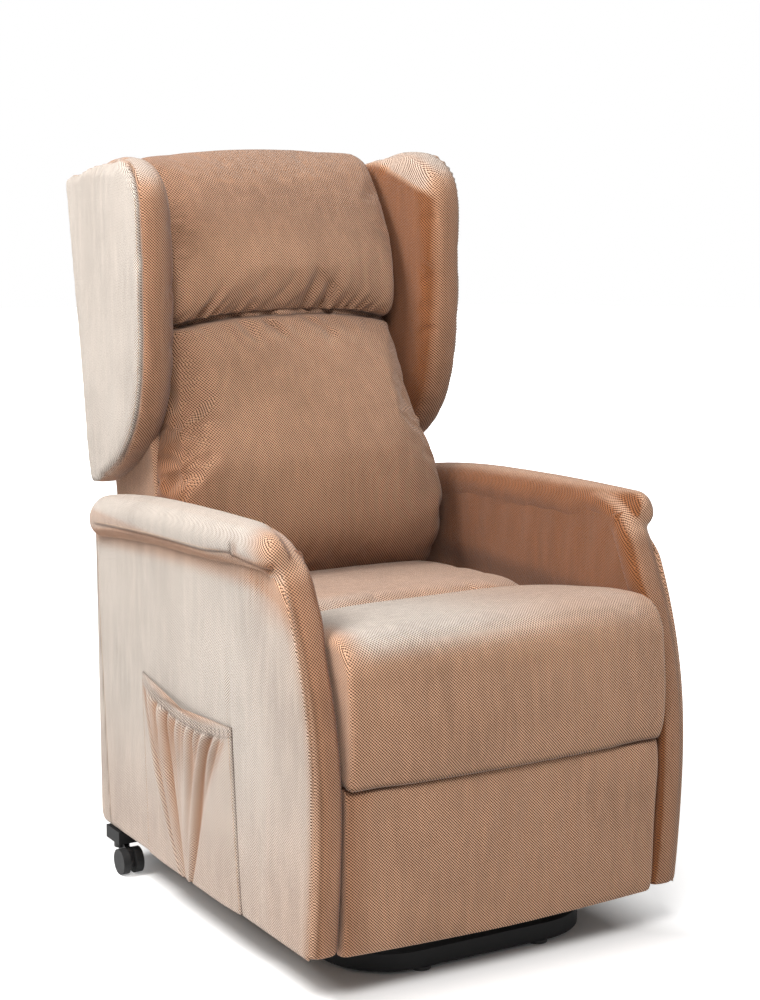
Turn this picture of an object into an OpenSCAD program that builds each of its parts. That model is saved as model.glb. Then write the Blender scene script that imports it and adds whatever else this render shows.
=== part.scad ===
// Powered wing chair that reclines, raises a leg rest and lifts its sitter.
// Millimetres. The front faces -Y and +Z is up. Left and right are as seen from the front:
// parts named left lie at -X, parts named right at +X.
// The origin lies on the floor, under the middle of the overall box.

/* [Overall] */
// clear width between the inner faces of the arms
seat_gap = 530; // [480:1:600]
// thickness of one arm below its pad
arm_thick = 38; // [34:1:60]
// length of an arm from front to back
arm_length = 697; // [660:1:760]
// how far the seat front stands out past the arms
front_bulge = 17.5; // [12:0.5:24]
// how far the top of the back stands out behind the arms
back_overhang = 146.5; // [120:0.5:180]
// space under the upholstery
ground_gap = 68; // [66:1:80]
// height of the top of the back
back_height = 1100; // [1060:1:1150]

/* [Arms] */
// height of the arm pad at the back
arm_height = 590; // [575:1:630]
// rise of the arm pad towards the front
arm_rise = 34; // [0:1:40]
// thickness of the arm pad
pad_thick = 54; // [44:1:60]
// how far the pad overhangs the arm on the outside
pad_out = 19; // [10:1:24]
// how far the pad overhangs the arm on the inside
pad_in = 14; // [6:1:16]
// how far the arm front sweeps back up to the pad
arm_sweep = 94; // [60:1:110]
// how far the arm front draws in at the floor
arm_toe = 15; // [0:1:24]
// thickness of the padded strip down the arm front
strip_thick = 30; // [24:1:40]
// thickness of the wooden arm core
core_thick = 18; // [15:1:20]
// thickness of the outer arm padding
outer_pad = 8; // [6:0.5:9]

/* [Seat] */
// height of the seat at its cross seam
seat_height = 464; // [450:1:480]
// extra height of the seat crest at the front
seat_crest = 32; // [20:1:44]
// distance from the arm front to the cross seam
seam_back = 280; // [250:1:300]
// distance from the rear end of the seat to the back of the arms
seat_end = 87; // [80:1:110]
// side clearance of the seat cushions
seat_side_gap = 7; // [5:1:12]
// height of the seat cushion above its frame, at the cross seam
seat_thick = 79; // [72:1:84]
// depth of the wooden seat rails
rail_depth = 55; // [50:1:60]
// thickness of the wooden seat rails
rail_thick = 22; // [18:1:24]
// thickness of the elastic webbing
web_thick = 3; // [2:0.5:4]

/* [Back] */
// lean of the rear face of the back, in degrees
back_lean = 9.06; // [6:0.01:11]
// half the width of the head cushion
head_half = 195; // [180:1:200]
// half the width of the lumbar cushion at its foot
lumbar_half = 243; // [225:1:245]
// height of the seam between the two back cushions
back_seam = 829; // [800:1:850]
// thickness of the rear cover
cover_thick = 12; // [8:1:14]
// depth of the wooden back stiles
stile_depth = 45; // [40:1:48]
// width of the wooden back stiles
stile_width = 25; // [20:1:28]
// outer reach of a wing past the cushion
wing_reach = 81; // [70:1:90]
// height of the underside of the wings at the back
wing_low = 588; // [585:1:600]

/* [Leg rest] */
// height of the seam across the front
front_seam = 295; // [285:1:305]
// thickness of the leg rest board
board_thick = 15; // [12:1:16]
// thickness of the lower pad at its foot
lower_pad = 15; // [12:1:18]

/* [Base] */
// half the width of the steel base ring
ring_half = 206; // [196:1:206]
// corner radius of the base ring
ring_corner = 100; // [70:1:130]
// width of the base tube
tube_w = 28; // [24:1:30]
// height of the base tube
tube_h = 25; // [20:1:25]
// height of the glides
glide_h = 5; // [4:0.5:6]
// radius of a caster wheel
wheel_r = 20; // [18:0.5:20]
// trail of a caster
caster_trail = 27; // [24:1:30]

/* [Mechanism] */
// radius of the pivot studs
stud_r = 6; // [5:0.5:7]
// running clearance of a pivot, on the radius
run_gap = 0.06; // [0.02:0.01:0.1]
// play of the open link eye, on the radius
eye_play = 2.6; // [2:0.1:4]
// radius of an actuator tube
act_r = 19; // [16:1:20]
// radius of an actuator rod
rod_r = 9; // [7:0.5:10]
// gap between neighbouring steel plates
plate_gap = 3; // [2:0.5:3]

/* [Hidden] */
hx = seat_gap / 2;
ax = hx + arm_thick;
overall_depth = front_bulge + arm_length + back_overhang;
face_y = -overall_depth / 2;
fy = face_y + front_bulge;
ry = fy + arm_length;
by = overall_depth / 2;
frame_top = seat_height - seat_thick;
// arm front: lowest height of the sweep, and the notch under the pad
zv = ground_gap + 209;
pad_front = fy + arm_sweep + 26;
pad_rear = ry - 18;
zn = arm_height + arm_rise - pad_thick + 8;
// steel layers, from the outside in
plate_o = hx - rail_thick;
plate_i = plate_o - 5;
arm_o = plate_i - plate_gap;
arm_i = arm_o - 8;
link_o = arm_i - plate_gap - 1;
link_i = link_o - 6;
brk_o = link_i - plate_gap;
brk_i = brk_o - 8;
// pivots as [y, z]
pa = [fy + 151, 128];
pd = [fy + 503, 150];
pb = pa + [-28, 22];
pc = pd + [-62, 47.5];
ph = [ry - 56, frame_top + 7];
pg = [fy + 9, frame_top + 59];
pt = pa + [63, -31];
// the drives: side offset, length of the recline drive, cross tube, gap of the lift drive to its bar
act_x = 90;
rec_len = 513;
cross_r = 12;
bar_y = ry - 65;
clevis_gap = 14.3;
// crank pins of the three drives, their crank radii and angles, and the line of each rod
lift_r = 110;
lift_a = 44;
lift_line = 159.78;
pp = pa + lift_r * [cos(lift_a), sin(lift_a)];
rec_r = 100;
rec_a = -59.8;
rec_line = 7.8;
pr = ph + rec_r * [cos(rec_a), sin(rec_a)];
leg_r = 140;
leg_a = -66;
leg_line = 167.23;
pl = pg + leg_r * [cos(leg_a), sin(leg_a)];
lift_len = (bar_y - clevis_gap - pp[0]) / -cos(lift_line);
lift_k = pp - lift_len * [cos(lift_line), sin(lift_line)];
rec_k = pr - rec_len * [cos(rec_line), sin(rec_line)];
// the rear cross tube passes just under the recline drive
rec_n = [sin(rec_line), -cos(rec_line)];
leg_len = ((pl - rec_k) * rec_n - act_r - cross_r - 0.8) / ([cos(leg_line), sin(leg_line)] * rec_n);
leg_k = pl - leg_len * [cos(leg_line), sin(leg_line)];
// base
bolt_r = 4;
bolt_ys = [fy + 131, ry - 94];
bolt_z = frame_top - 28;
stem_y = ry - 52;
bar_z = 46;
caster_x = hx + 26;
ring_z = glide_h + tube_h;
ring_front = fy + 56;
// seat
seat_half = hx - seat_side_gap;
seat_base = frame_top + web_thick + 0.3;
seam_y = fy + seam_back + 0.0;
seat_rear = ry - seat_end;
rail_low = frame_top - rail_depth;
rail_front = fy + 61;
rail_rear = ry - 44;
// back
top_z = back_height;
lean = tan(back_lean);
wing_x = head_half + wing_reach;
cover_top = top_z - 40;
pillow_n = 14;

function mix(a, b, t) = a + (b - a) * t;
function sq(v) = v * v;
// rear face of the back at height z
function rear_y(z) = by - (cover_top - z) * lean;
// front face of the stiles at height z
function stile_y(z) = rear_y(z) - cover_thick - stile_depth - 0.05;
// outer front line of an arm at height z
function arm_y(z) = z > zv
  ? fy + arm_sweep * sq((z - zv) / (zn - zv))
  : fy + arm_toe * sq((zv - z) / (zv - ground_gap));
// top line of the arm pad
function pad_z(y) = arm_height + arm_rise * (1 - pow(abs(y - pad_front) / (ry - pad_front), 1.6));
// fullness of a cushion along its length: 1 in the middle, drawn in at both ends
function full(t, n) = pow(1 - pow(abs(2 * t - 1), n), 1 / n);
// stations bunched at both ends
function spread(i, n) = 0.5 - 0.5 * cos(180 * (i + 0.25) / (n + 0.5));

// stations along the underside of the arm pad, from the front
pad_ys = [for (i = [0:7]) mix(pad_front + 6, pad_rear - 26, i / 7)];
// stations up the padded strip of the arm front
strip_zs = [for (i = [0:11]) mix(ground_gap, zn - 16, i / 11)];

// plate outline in the side plane, pulled from x0 to x1
module slab(x0, x1) {
  translate([x0, 0, 0]) rotate([90, 0, 90]) linear_extrude(x1 - x0) children();
}

module disc(p, r, x0, x1, n = 24) {
  translate([x0, p[0], p[1]]) rotate([0, 90, 0]) cylinder(h = x1 - x0, r = r, $fn = n);
}

// cylinder from p along angle a of the side plane
module shaft(p, a, h, r, x = 0, n = 24) {
  translate([x, p[0], p[1]]) rotate([a - 90, 0, 0]) cylinder(h = h, r = r, $fn = n);
}

// bar with round ends between two points
module link_bar(p, rp, q, rq, x0, x1) {
  d = (q - p) / norm(q - p);
  n = [-d[1], d[0]];
  slab(x0, x1) polygon([p + rp * n, q + rq * n, q - rq * n, p - rp * n]);
  disc(p, rp, x0, x1);
  disc(q, rq, x0, x1);
}

// slot cut along angle a, from radius r0 to r1 round pivot p
module slot(p, a, r0, r1, w, x0, x1) {
  u = [cos(a), sin(a)];
  link_bar(p + r0 * u, w / 2, p + r1 * u, w / 2, x0, x1);
}

// one closed ring of a padded section
// s = [outer y, outer z, inner y, inner z, low x, high x, low x inside, high x inside, corner]
function section(s, rf, rr, crown, k) =
  let(w = s[5] - s[4], d = norm([s[0] - s[2], s[1] - s[3]]),
      a = min(is_undef(s[8]) ? rf : s[8], w / 2 - 1, d - rr - 1), b = min(rr, w / 2 - 1, d / 2 - 1),
      ring = concat(
        [for (i = [0:k]) [w - a + a * cos(90 * i / k), d - a + a * sin(90 * i / k)]],
        [for (i = [1:5]) [w - a - (w - 2 * a) * i / 6, d]],
        [for (i = [0:k]) [a - a * sin(90 * i / k), d - a + a * cos(90 * i / k)]],
        [for (i = [0:1]) [b - b * cos(90 * i), b - b * sin(90 * i)]],
        [for (i = [0:1]) [w - b + b * sin(90 * i), b - b * cos(90 * i)]]))
  [for (q = ring)
    let(u = q[0] / w, v = q[1] / d, c = crown * (1 - sq(2 * u - 1)) * v / d)
    [mix(mix(s[6], s[7], u), mix(s[4], s[5], u), v),
     mix(s[2], s[0], v + c), mix(s[3], s[1], v + c)]];

function middle(r) = [for (j = [0:2]) mix(min([for (p = r) p[j]]), max([for (p = r) p[j]]), 0.5)];

// padded body drawn through a run of sections
module padded(stations, rf, rr, crown, k = 3) {
  rings = [for (s = stations) section(s, rf, rr, crown, k)];
  n = len(rings[0]);
  m = len(rings);
  pts = concat([for (r = rings) each r], [middle(rings[0])], [middle(rings[m - 1])]);
  sides = [for (i = [0:m - 2], j = [0:n - 1], h = [0:1])
    let(a = i * n + j, b = i * n + (j + 1) % n)
    h == 0 ? [a, a + n, b] : [b, a + n, b + n]];
  ends = [for (j = [0:n - 1], h = [0:1])
    let(b = (j + 1) % n)
    h == 0 ? [m * n, j, b] : [m * n + 1, (m - 1) * n + b, (m - 1) * n + j]];
  polyhedron(points = pts, faces = concat(sides, ends), convexity = 4);
}

/* base */

module base_ring() {
  r = ring_corner;
  y0 = ring_front + r;
  color([0.1, 0.1, 0.11]) {
    translate([-(ring_half - r), ring_front, glide_h])
      cube([2 * (ring_half - r), tube_w, tube_h]);
    for (s = [-1, 1]) {
      translate([s * (ring_half - r), y0, glide_h])
        rotate([0, 0, s > 0 ? -90 : 180])
          rotate_extrude(angle = 90, $fn = 64)
            translate([r - tube_w, 0]) square([tube_w, tube_h]);
      translate([s * (ring_half - tube_w / 2) - tube_w / 2, y0, glide_h])
        cube([tube_w, bar_y + 26 - y0, tube_h]);
    }
  }
}

module front_glides() {
  color([0.15, 0.15, 0.15])
    for (s = [-1, 1])
      translate([s * 97, ring_front + 12, 0]) cylinder(h = glide_h, r = 14, $fn = 32);
}

module base_rear_bar() {
  color([0.1, 0.1, 0.11]) difference() {
    union() {
      translate([-ax - 2, bar_y, bar_z]) cube([2 * ax + 4, 26, 20]);
      for (s = [-1, 1]) {
        translate([s * caster_x - 15, bar_y - 11, bar_z]) cube([30, 48, 20]);
        translate([s * (ring_half - tube_w / 2) - tube_w / 2, bar_y, ring_z])
          cube([tube_w, 26, bar_z - ring_z + 1]);
        slab(s > 0 ? act_r + 2.5 : -act_r - 8.5, s > 0 ? act_r + 8.5 : -act_r - 2.5)
          polygon([[lift_k[0] - 12, lift_k[1] - 10], [bar_y + 1, bar_z],
            [bar_y + 1, bar_z + 20], [lift_k[0] + 8, lift_k[1] + 16],
            [lift_k[0] - 12, lift_k[1] + 14]]);
      }
      disc(lift_k, stud_r, -act_r - 3, act_r + 3);
    }
    for (s = [-1, 1])
      translate([s * caster_x, stem_y, bar_z - 1]) cylinder(h = 18, r = 5 + run_gap, $fn = 32);
  }
}

module lift_bracket_right() {
  color([0.16, 0.16, 0.17]) {
    slab(brk_i, brk_o) polygon([[pa[0] + 8, ring_z], [pa[0] + 52, ring_z],
      [pa[0] + 20, pa[1]], pa, pb, [pa[0] - 42, pb[1] - 10]]);
    translate([ring_half - tube_w + 2, pa[0] + 8, ring_z]) cube([brk_o - ring_half + tube_w - 2, 44, 6]);
    disc(pa, 20, brk_i, brk_o);
    disc(pb, 16, brk_i, brk_o);
    disc(pa, stud_r + 3, brk_o - 1, arm_i - 0.5);
    disc(pa, stud_r, brk_i, arm_o - 0.5);
    disc(pb, stud_r, brk_i, link_o + 1.5);
  }
}

module lift_bracket_left() { mirror([1, 0, 0]) lift_bracket_right(); }

module lift_actuator() {
  motor = lift_k + 36 * [cos(lift_line), sin(lift_line)];
  color([0.2, 0.2, 0.21]) difference() {
    union() {
      shaft(lift_k + 12 * [cos(lift_line), sin(lift_line)], lift_line, lift_len - 143, act_r);
      disc(lift_k, 13, -act_r, act_r);
      shaft(motor, lift_line, 110, act_r + 1, 2 * act_r + 11);
      shaft(motor, lift_line, 40, act_r - 2, act_r + 4);
    }
    shaft(lift_k + 60 * [cos(lift_line), sin(lift_line)], lift_line, lift_len - 173, rod_r + 0.4);
    disc(lift_k, stud_r + run_gap, -40, 40);
  }
}

// rod with its eye and cross pin
module rod_with_pin(p, line, back, eye, span, x) {
  u = [cos(line), sin(line)];
  shaft(p - back * u, line, back - eye + 3, rod_r, x);
  disc(p, eye, x - rod_r, x + rod_r);
  disc(p, stud_r, x - span, x + span);
}

module lift_rod() {
  color([0.72, 0.72, 0.74]) rod_with_pin(pp, lift_line, lift_len - 103, 12, 20, 0);
}

/* casters */

module caster_hood_right() {
  axle = [stem_y - caster_trail, wheel_r];
  color([0.25, 0.25, 0.26]) {
    translate([caster_x, stem_y, bar_z - 10]) cylinder(h = 9.7, r = 12, $fn = 32);
    translate([caster_x, stem_y, bar_z - 2]) cylinder(h = 17.5, r = 5, $fn = 32);
    slab(caster_x - 4, caster_x + 4) polygon([axle + [-11, 3], axle + [-6, 17],
      [stem_y - 8, bar_z - 1], [stem_y + 11, bar_z - 1], [stem_y + 9, bar_z - 12],
      axle + [11, -3]]);
    disc(axle, 11, caster_x - 4, caster_x + 4);
    disc(axle, 4, caster_x - 15, caster_x + 15, 24);
  }
}

module caster_hood_left() { mirror([1, 0, 0]) caster_hood_right(); }

module caster_wheels_right() {
  axle = [stem_y - caster_trail, wheel_r];
  color([0.06, 0.06, 0.06])
    for (s = [0, 1]) {
      x0 = s > 0 ? caster_x + 5 : caster_x - 17;
      difference() {
        disc(axle, wheel_r, x0, x0 + 12, 48);
        disc(axle, 4 + run_gap, s > 0 ? x0 - 1 : x0 + 1.6, s > 0 ? x0 + 10.4 : x0 + 13, 24);
      }
    }
}

module caster_wheels_left() { mirror([1, 0, 0]) caster_wheels_right(); }

/* lift linkage */

module lift_arm_right() {
  color([0.18, 0.18, 0.19]) difference() {
    union() {
      link_bar(pa, 18, pd, 15, arm_i, arm_o);
      link_bar(pa, 18, pt, 18, arm_i, arm_o);
    }
    disc(pa, stud_r + run_gap, arm_i - 1, arm_o + 1);
    disc(pd, stud_r + run_gap, arm_i - 1, arm_o + 1);
  }
}

module lift_arm_left() { mirror([1, 0, 0]) lift_arm_right(); }

module lift_cross_tube() {
  color([0.18, 0.18, 0.19]) {
    disc(pt, 14, -arm_i, arm_i);
    for (s = [-1, 1])
      difference() {
        link_bar(pt, 20, pp, 20, s > 0 ? 11 : -17, s > 0 ? 17 : -11);
        slot(pa, lift_a - 0.6, lift_r - 12, lift_r + 0.7, 2 * stud_r + 4.4, -40, 40);
      }
  }
}

module lift_link_right() {
  color([0.2, 0.2, 0.21]) difference() {
    link_bar(pb, 13, pc, 16, link_i, link_o);
    disc(pb, stud_r + run_gap, link_i - 1, link_o + 1);
    disc(pc, stud_r + eye_play, link_i - 1, link_o + 1);
  }
}

module lift_link_left() { mirror([1, 0, 0]) lift_link_right(); }

/* carriage: steel */

module mech_plate_right() {
  color([0.17, 0.17, 0.18]) {
    difference() {
      slab(plate_i, plate_o) polygon([[rail_front - 10, rail_low - 14], [fy + 400, rail_low - 100],
      [pc[0] - 16, pc[1] - 4], pc + [-4, -16], pd + [-14, -10], pd + [14, -10], [pd[0] + 60, rail_low - 70],
      [ph[0] + 12, rail_low], ph + [14, -6], ph + [-14, 0], [ph[0] - 30, frame_top - 10],
      [rail_front - 8, frame_top - 10], [pg[0] + 31, pg[1] - 16], [pg[0] + 15, pg[1] - 21],
      [pg[0] + 17, rail_low + 10]]);
      for (y = bolt_ys)
        disc([y, bolt_z], bolt_r, plate_i - 1, plate_o + 1);
    }
    disc(ph, 14, plate_i, plate_o);
    disc(pd, 17, plate_i, plate_o);
    disc(pc, 16, plate_i, plate_o);
    link_bar([pg[0] + 23, pg[1] - 19], 8, pg, 9, plate_i, plate_o);
    disc(pd, stud_r, arm_i - 1.5, plate_i + 1);
    disc(pc, stud_r, link_i - 1.5, plate_i + 1);
    disc(ph, stud_r, arm_o - 7.5, plate_i + 1);
    disc(pg, stud_r - 2, arm_o - 6.5, plate_i + 1);
  }
}

module mech_plate_left() { mirror([1, 0, 0]) mech_plate_right(); }

// cheeks and pin that hold the tail of an actuator on a cross tube
module cradle(p, x) {
  for (s = [-1, 1])
    disc(p, 21, s > 0 ? x + act_r + 1.5 : x - act_r - 7.5, s > 0 ? x + act_r + 7.5 : x - act_r - 1.5);
  disc(p, cross_r, x - act_r - 2, x + act_r + 2);
}

module carriage_tube_front() {
  color([0.18, 0.18, 0.19]) {
    disc(rec_k, cross_r, -plate_i, plate_i);
    cradle(rec_k, act_x);
  }
}

module carriage_tube_rear() {
  color([0.18, 0.18, 0.19]) {
    disc(leg_k, cross_r, -plate_i, plate_i);
    cradle(leg_k, -act_x);
  }
}

// actuator clamped on a cross tube: tube, gearbox and motor
module drive(k, line, len, x, side) {
  u = [cos(line), sin(line)];
  difference() {
    union() {
      shaft(k + 10 * u, line, len, act_r, x);
      disc(k, act_r, x - act_r, x + act_r);
      shaft(k + 34 * u, line, 100, act_r, x + side * (2 * act_r + 12));
      shaft(k + 34 * u, line, 34, act_r - 3, x + side * (act_r + 5));
    }
    shaft(k + 40 * u, line, len, rod_r + 0.4, x);
    disc(k, cross_r + 0.3, x - 40, x + 40);
  }
}

module recline_actuator() {
  color([0.2, 0.2, 0.21]) drive(rec_k, rec_line, rec_len - 113, act_x, -1);
}

module legrest_actuator() {
  color([0.2, 0.2, 0.21]) drive(leg_k, leg_line, leg_len - 92, -act_x, 1);
}

module recline_rod() {
  color([0.72, 0.72, 0.74]) rod_with_pin(pr, rec_line, rec_len - 121, 12, 20, act_x);
}

module legrest_rod() {
  color([0.72, 0.72, 0.74]) rod_with_pin(pl, leg_line, leg_len - 92, 12, 20, -act_x);
}

module control_box() {
  color([0.12, 0.12, 0.13]) {
    translate([-plate_i, fy + 340, rail_low - 72]) cube([78, 120, 46]);
    translate([-plate_i + 30, fy + 459, rail_low - 48]) rotate([-90, 0, 0])
      cylinder(h = 12, r = 9, $fn = 24);
    translate([-plate_i + 56, fy + 459, rail_low - 48]) rotate([-90, 0, 0])
      cylinder(h = 9, r = 6, $fn = 24);
  }
}

/* carriage: wood and webbing */

module seat_rail_front() {
  color([0.75, 0.6, 0.42]) difference() {
    translate([-plate_o, rail_front, rail_low]) cube([2 * plate_o, rail_thick, rail_depth]);
    translate([-act_x - 26, rail_front - 1, rail_low - 1]) cube([52, rail_thick + 2, rail_depth - 12]);
    for (s = [-1, 1])
      translate([s > 0 ? plate_i - 0.5 : -plate_o - 0.5, rail_front - 1, rail_low - 1])
        cube([6, rail_thick + 2, rail_depth - 8]);
  }
}

module seat_rail_rear() {
  color([0.75, 0.6, 0.42]) difference() {
    translate([-plate_o, seat_rear - 48, rail_low]) cube([2 * plate_o, rail_thick, rail_depth]);
    for (s = [-1, 1])
      translate([s > 0 ? plate_i - 0.5 : -plate_o - 0.5, seat_rear - 49, rail_low - 1])
        cube([6, rail_thick + 2, rail_depth + 2]);
  }
}

module seat_side_right() {
  color([0.75, 0.6, 0.42]) difference() {
    translate([plate_o, rail_front, rail_low]) cube([rail_thick, rail_rear - rail_front, rail_depth]);
    for (y = bolt_ys)
      disc([y, bolt_z], bolt_r, plate_o - 1, hx + 1);
  }
}

module seat_side_left() { mirror([1, 0, 0]) seat_side_right(); }

module arm_bolts() {
  color([0.6, 0.6, 0.62])
    for (s = [-1, 1], y = bolt_ys) {
      disc([y, bolt_z], bolt_r, s > 0 ? plate_i - 1 : -hx - 26, s > 0 ? hx + 26 : 1 - plate_i);
      disc([y, bolt_z], 8, s > 0 ? plate_i - 5 : -plate_i, s > 0 ? plate_i : 5 - plate_i);
    }
}

module seat_webbing() {
  color([0.2, 0.2, 0.22]) {
    for (x = [-2:2])
      translate([x * 90 - 25, rail_front + 2, frame_top])
        cube([50, seat_rear - 48 + rail_thick - rail_front - 4, web_thick]);
    for (y = [0:3])
      translate([-plate_o - 15, rail_front + 72 + y * 118, frame_top])
        cube([2 * plate_o + 30, 50, web_thick]);
  }
}

/* carriage: soft parts */

module seat_cushion() {
  n = pillow_n;
  color([0.8, 0.66, 0.5]) padded([for (i = [0:n])
    let(t = spread(i, n), f = full(t, 7), y = mix(seat_rear, seam_y + 1, t),
        z = seat_height - 24 * (1 - t) + 3 * sin(180 * t),
        h = seat_half - 16 * (1 - f))
    [y, mix(seat_base, z, f), y, seat_base, -h, h, -h + 3, h - 3]], 26, 4, 8);
}

module seat_front_cushion() {
  r = 56;
  c = [face_y + r + 6, seat_height + seat_crest - r];
  back = [for (i = [0:7])
    let(t = i / 7, f = pow(1 - pow(1 - min(t * 2.2 + 0.03, 1), 4), 0.25))
    [mix(seam_y - 1, c[0] + 4, t),
     mix(seat_base + 40, seat_height + seat_crest * pow(sin(90 * t), 0.9), f)]];
  front = [for (i = [0:5]) let(a = 75 - 12 * i) c + [-r * cos(a), r * sin(a)]];
  color([0.8, 0.66, 0.5]) padded(concat(
    [for (p = back) let(y = max(p[0], rail_front)) [p[0], p[1], y, seat_base, -seat_half, seat_half, -seat_half + 3, seat_half - 3]],
    [for (i = [0:5])
      let(p = front[i], h = seat_half - 0.35 * i * i, s = (i + 1) / 6)
      [p[0], p[1], mix(rail_front, fy + 36, sq(s)), mix(seat_base, seat_height - 8, sqrt(s)),
       -h, h, -h + 3, h - 3]]),
    30, 4, 8);
}

// side outline of an arm, below the pad and behind the front strip
module arm_outline(low) {
  gap = 0.4;
  front = [for (i = [0:10]) let(z = max(strip_zs[i], low)) [arm_y(z) + strip_thick + gap, z]];
  notch = [[arm_y(zn - 16) + strip_thick + 1.4, zn - 24], [pad_ys[0] + 1.5, pad_z(pad_ys[0]) - pad_thick - 2.5]];
  top = [for (i = [1:7]) [pad_ys[i], pad_z(pad_ys[i]) - pad_thick - gap]];
  polygon(concat(front, notch, top, [[ry - 8, pad_z(ry) - pad_thick - 4], [ry - 3, pad_z(ry) - pad_thick - 16], [ry, low + 22],
    [ry - 7, low + 7], [ry - 22, low]]));
}

module arm_core_right() {
  color([0.75, 0.6, 0.42]) difference() {
    slab(ax - outer_pad - core_thick, ax - outer_pad) arm_outline(ground_gap + 2);
    for (y = bolt_ys)
      disc([y, bolt_z], bolt_r, hx - 1, hx + 26);
  }
}

module arm_core_left() { mirror([1, 0, 0]) arm_core_right(); }

module arm_outer_right() {
  color([0.86, 0.76, 0.62]) slab(ax - outer_pad, ax) arm_outline(ground_gap);
}

module arm_outer_left() { mirror([1, 0, 0]) arm_outer_right(); }

module arm_inner_right() {
  color([0.8, 0.66, 0.5]) difference() {
    slab(hx, ax - outer_pad - core_thick) arm_outline(ground_gap);
    for (y = bolt_ys)
      disc([y, bolt_z], bolt_r, hx - 1, hx + 26);
  }
}

module arm_inner_left() { mirror([1, 0, 0]) arm_inner_right(); }

module arm_pad_right() {
  r = pad_thick / 2;
  c = [pad_front, pad_z(pad_front) - r];
  xo = ax + pad_out;
  xi = hx - pad_in;
  rear = [for (i = [0:3])
    let(e = 2 + 8 * i * (i + 1) / 4, h = r * sqrt(1 - sq(1 - min(e / 24, 1)) * 0.86))
    [pad_rear - e, pad_z(pad_rear - e) - r + h, pad_rear - e, pad_z(pad_rear - e) - r - h,
      xi + 6 - 2 * i, xo - 6 + 2 * i, 20]];
  top = [for (i = [6:-1:0]) let(y = pad_ys[i]) [y, pad_z(y), y, pad_z(y) - pad_thick, xi, xo, 20]];
  tip = [for (i = [0:3])
    let(a = 62 - 28 * i) [c[0] - r * cos(a), c[1] + r * sin(a), pad_ys[0] - 0.8 * (i + 1),
      pad_z(pad_ys[0]) - pad_thick - 1.6 * (i + 1), xi + i, xo - 1.5 * i, 20]];
  strip = [for (i = [0:11])
    let(z = strip_zs[11 - i], y = arm_y(z), w = i > 0 ? 0 : 1)
    [y, z, y + strip_thick, z - 8 * w, mix(hx - 1, xi + 4, w), mix(ax, ax + 6, w), mix(11, 20, w)]];
  color([0.82, 0.69, 0.53]) padded([for (s = concat(rear, top, tip, strip))
    [s[0], s[1], s[2], s[3], s[4], s[5], s[4], s[5], s[6]]], 20, 3, 0, 3);
}

module arm_pad_left() { mirror([1, 0, 0]) arm_pad_right(); }

// hanging pocket on the outside of the left arm: open along its gathered top
function pocket_edge(t) = ground_gap + mix(279, 266, t) - 22 * sin(180 * t);
function pocket_y(t, v) = mix(mix(fy + 197, fy + 236, v), mix(ry - 185, ry - 166, v), t);
// how far the cloth stands off the arm, with its folds running down from the gathers
function pocket_out(t, v) = 4 + sin(180 * t) * (4 + 6.5 * v)
  + 2.2 * (1 - cos(360 * 5 * t)) * v * sin(180 * t);

module side_pocket() {
  n = 32;
  m = 6;
  thick = 2.5;
  function at(i, j, o) =
    let(t = i / n, v = j / m)
    [-ax - pocket_out(t, v) + o * thick, pocket_y(t, v), mix(ground_gap + 1, pocket_edge(t), v)];
  front = [for (j = [0:m], i = [0:n]) at(i, j, 0)];
  rear = [for (j = [0:m], i = [0:n]) at(i, j, 1)];
  q = n + 1;
  k = len(front);
  grid = [for (j = [0:m - 1], i = [0:n - 1], h = [0:1])
    let(a = j * q + i) h == 0 ? [a, a + 1, a + q] : [a + 1, a + q + 1, a + q]];
  loop = concat([for (i = [0:n - 1]) i], [for (j = [0:m - 1]) j * q + n],
    [for (i = [0:n - 1]) m * q + n - i], [for (j = [0:m - 1]) (m - j) * q]);
  rim = [for (i = [0:len(loop) - 1], h = [0:1])
    let(a = loop[i], b = loop[(i + 1) % len(loop)])
    h == 0 ? [a, a + k, b] : [b, a + k, b + k]];
  color([0.84, 0.73, 0.58]) {
    polyhedron(points = concat(front, rear), faces = concat(grid,
      [for (f = grid) [f[2] + k, f[1] + k, f[0] + k]], rim), convexity = 8);
    for (e = [0, 1])
      slab(-ax - 4.5, -ax) polygon([[pocket_y(e, 0) - 2.5, ground_gap + 1], [pocket_y(e, 0) + 2.5, ground_gap + 1],
        [pocket_y(e, 1) + 2.5, pocket_edge(e)], [pocket_y(e, 1) - 2.5, pocket_edge(e)]]);
    slab(-ax - 4.5, -ax) polygon([[pocket_y(0, 0), ground_gap + 0.5], [pocket_y(1, 0), ground_gap + 0.5],
      [pocket_y(1, 0), ground_gap + 6], [pocket_y(0, 0), ground_gap + 6]]);
  }
}

/* back */

module back_stile() {
  z0 = ph[1] + 78;
  z1 = cover_top - 10;
  color([0.75, 0.6, 0.42]) slab(head_half + 2 - stile_width, head_half + 2)
    polygon([[stile_y(z0), z0], [stile_y(z0) + stile_depth, z0],
      [stile_y(z1) + stile_depth, z1], [stile_y(z1), z1]]);
}

module back_stiles() {
  back_stile();
  mirror([1, 0, 0]) back_stile();
}

module back_rail(z0, z1, h) {
  slab(-h, h) polygon([[stile_y(z0), z0], [stile_y(z0) + stile_depth, z0],
    [stile_y(z1) + stile_depth, z1], [stile_y(z1), z1]]);
}

module back_rail_top() {
  color([0.75, 0.6, 0.42])
    back_rail(cover_top - 70, cover_top - 10, head_half + 2 - stile_width);
}

module back_rail_bottom() {
  color([0.75, 0.6, 0.42]) back_rail(ph[1] + 18, ph[1] + 78, arm_o - 6);
}

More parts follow.
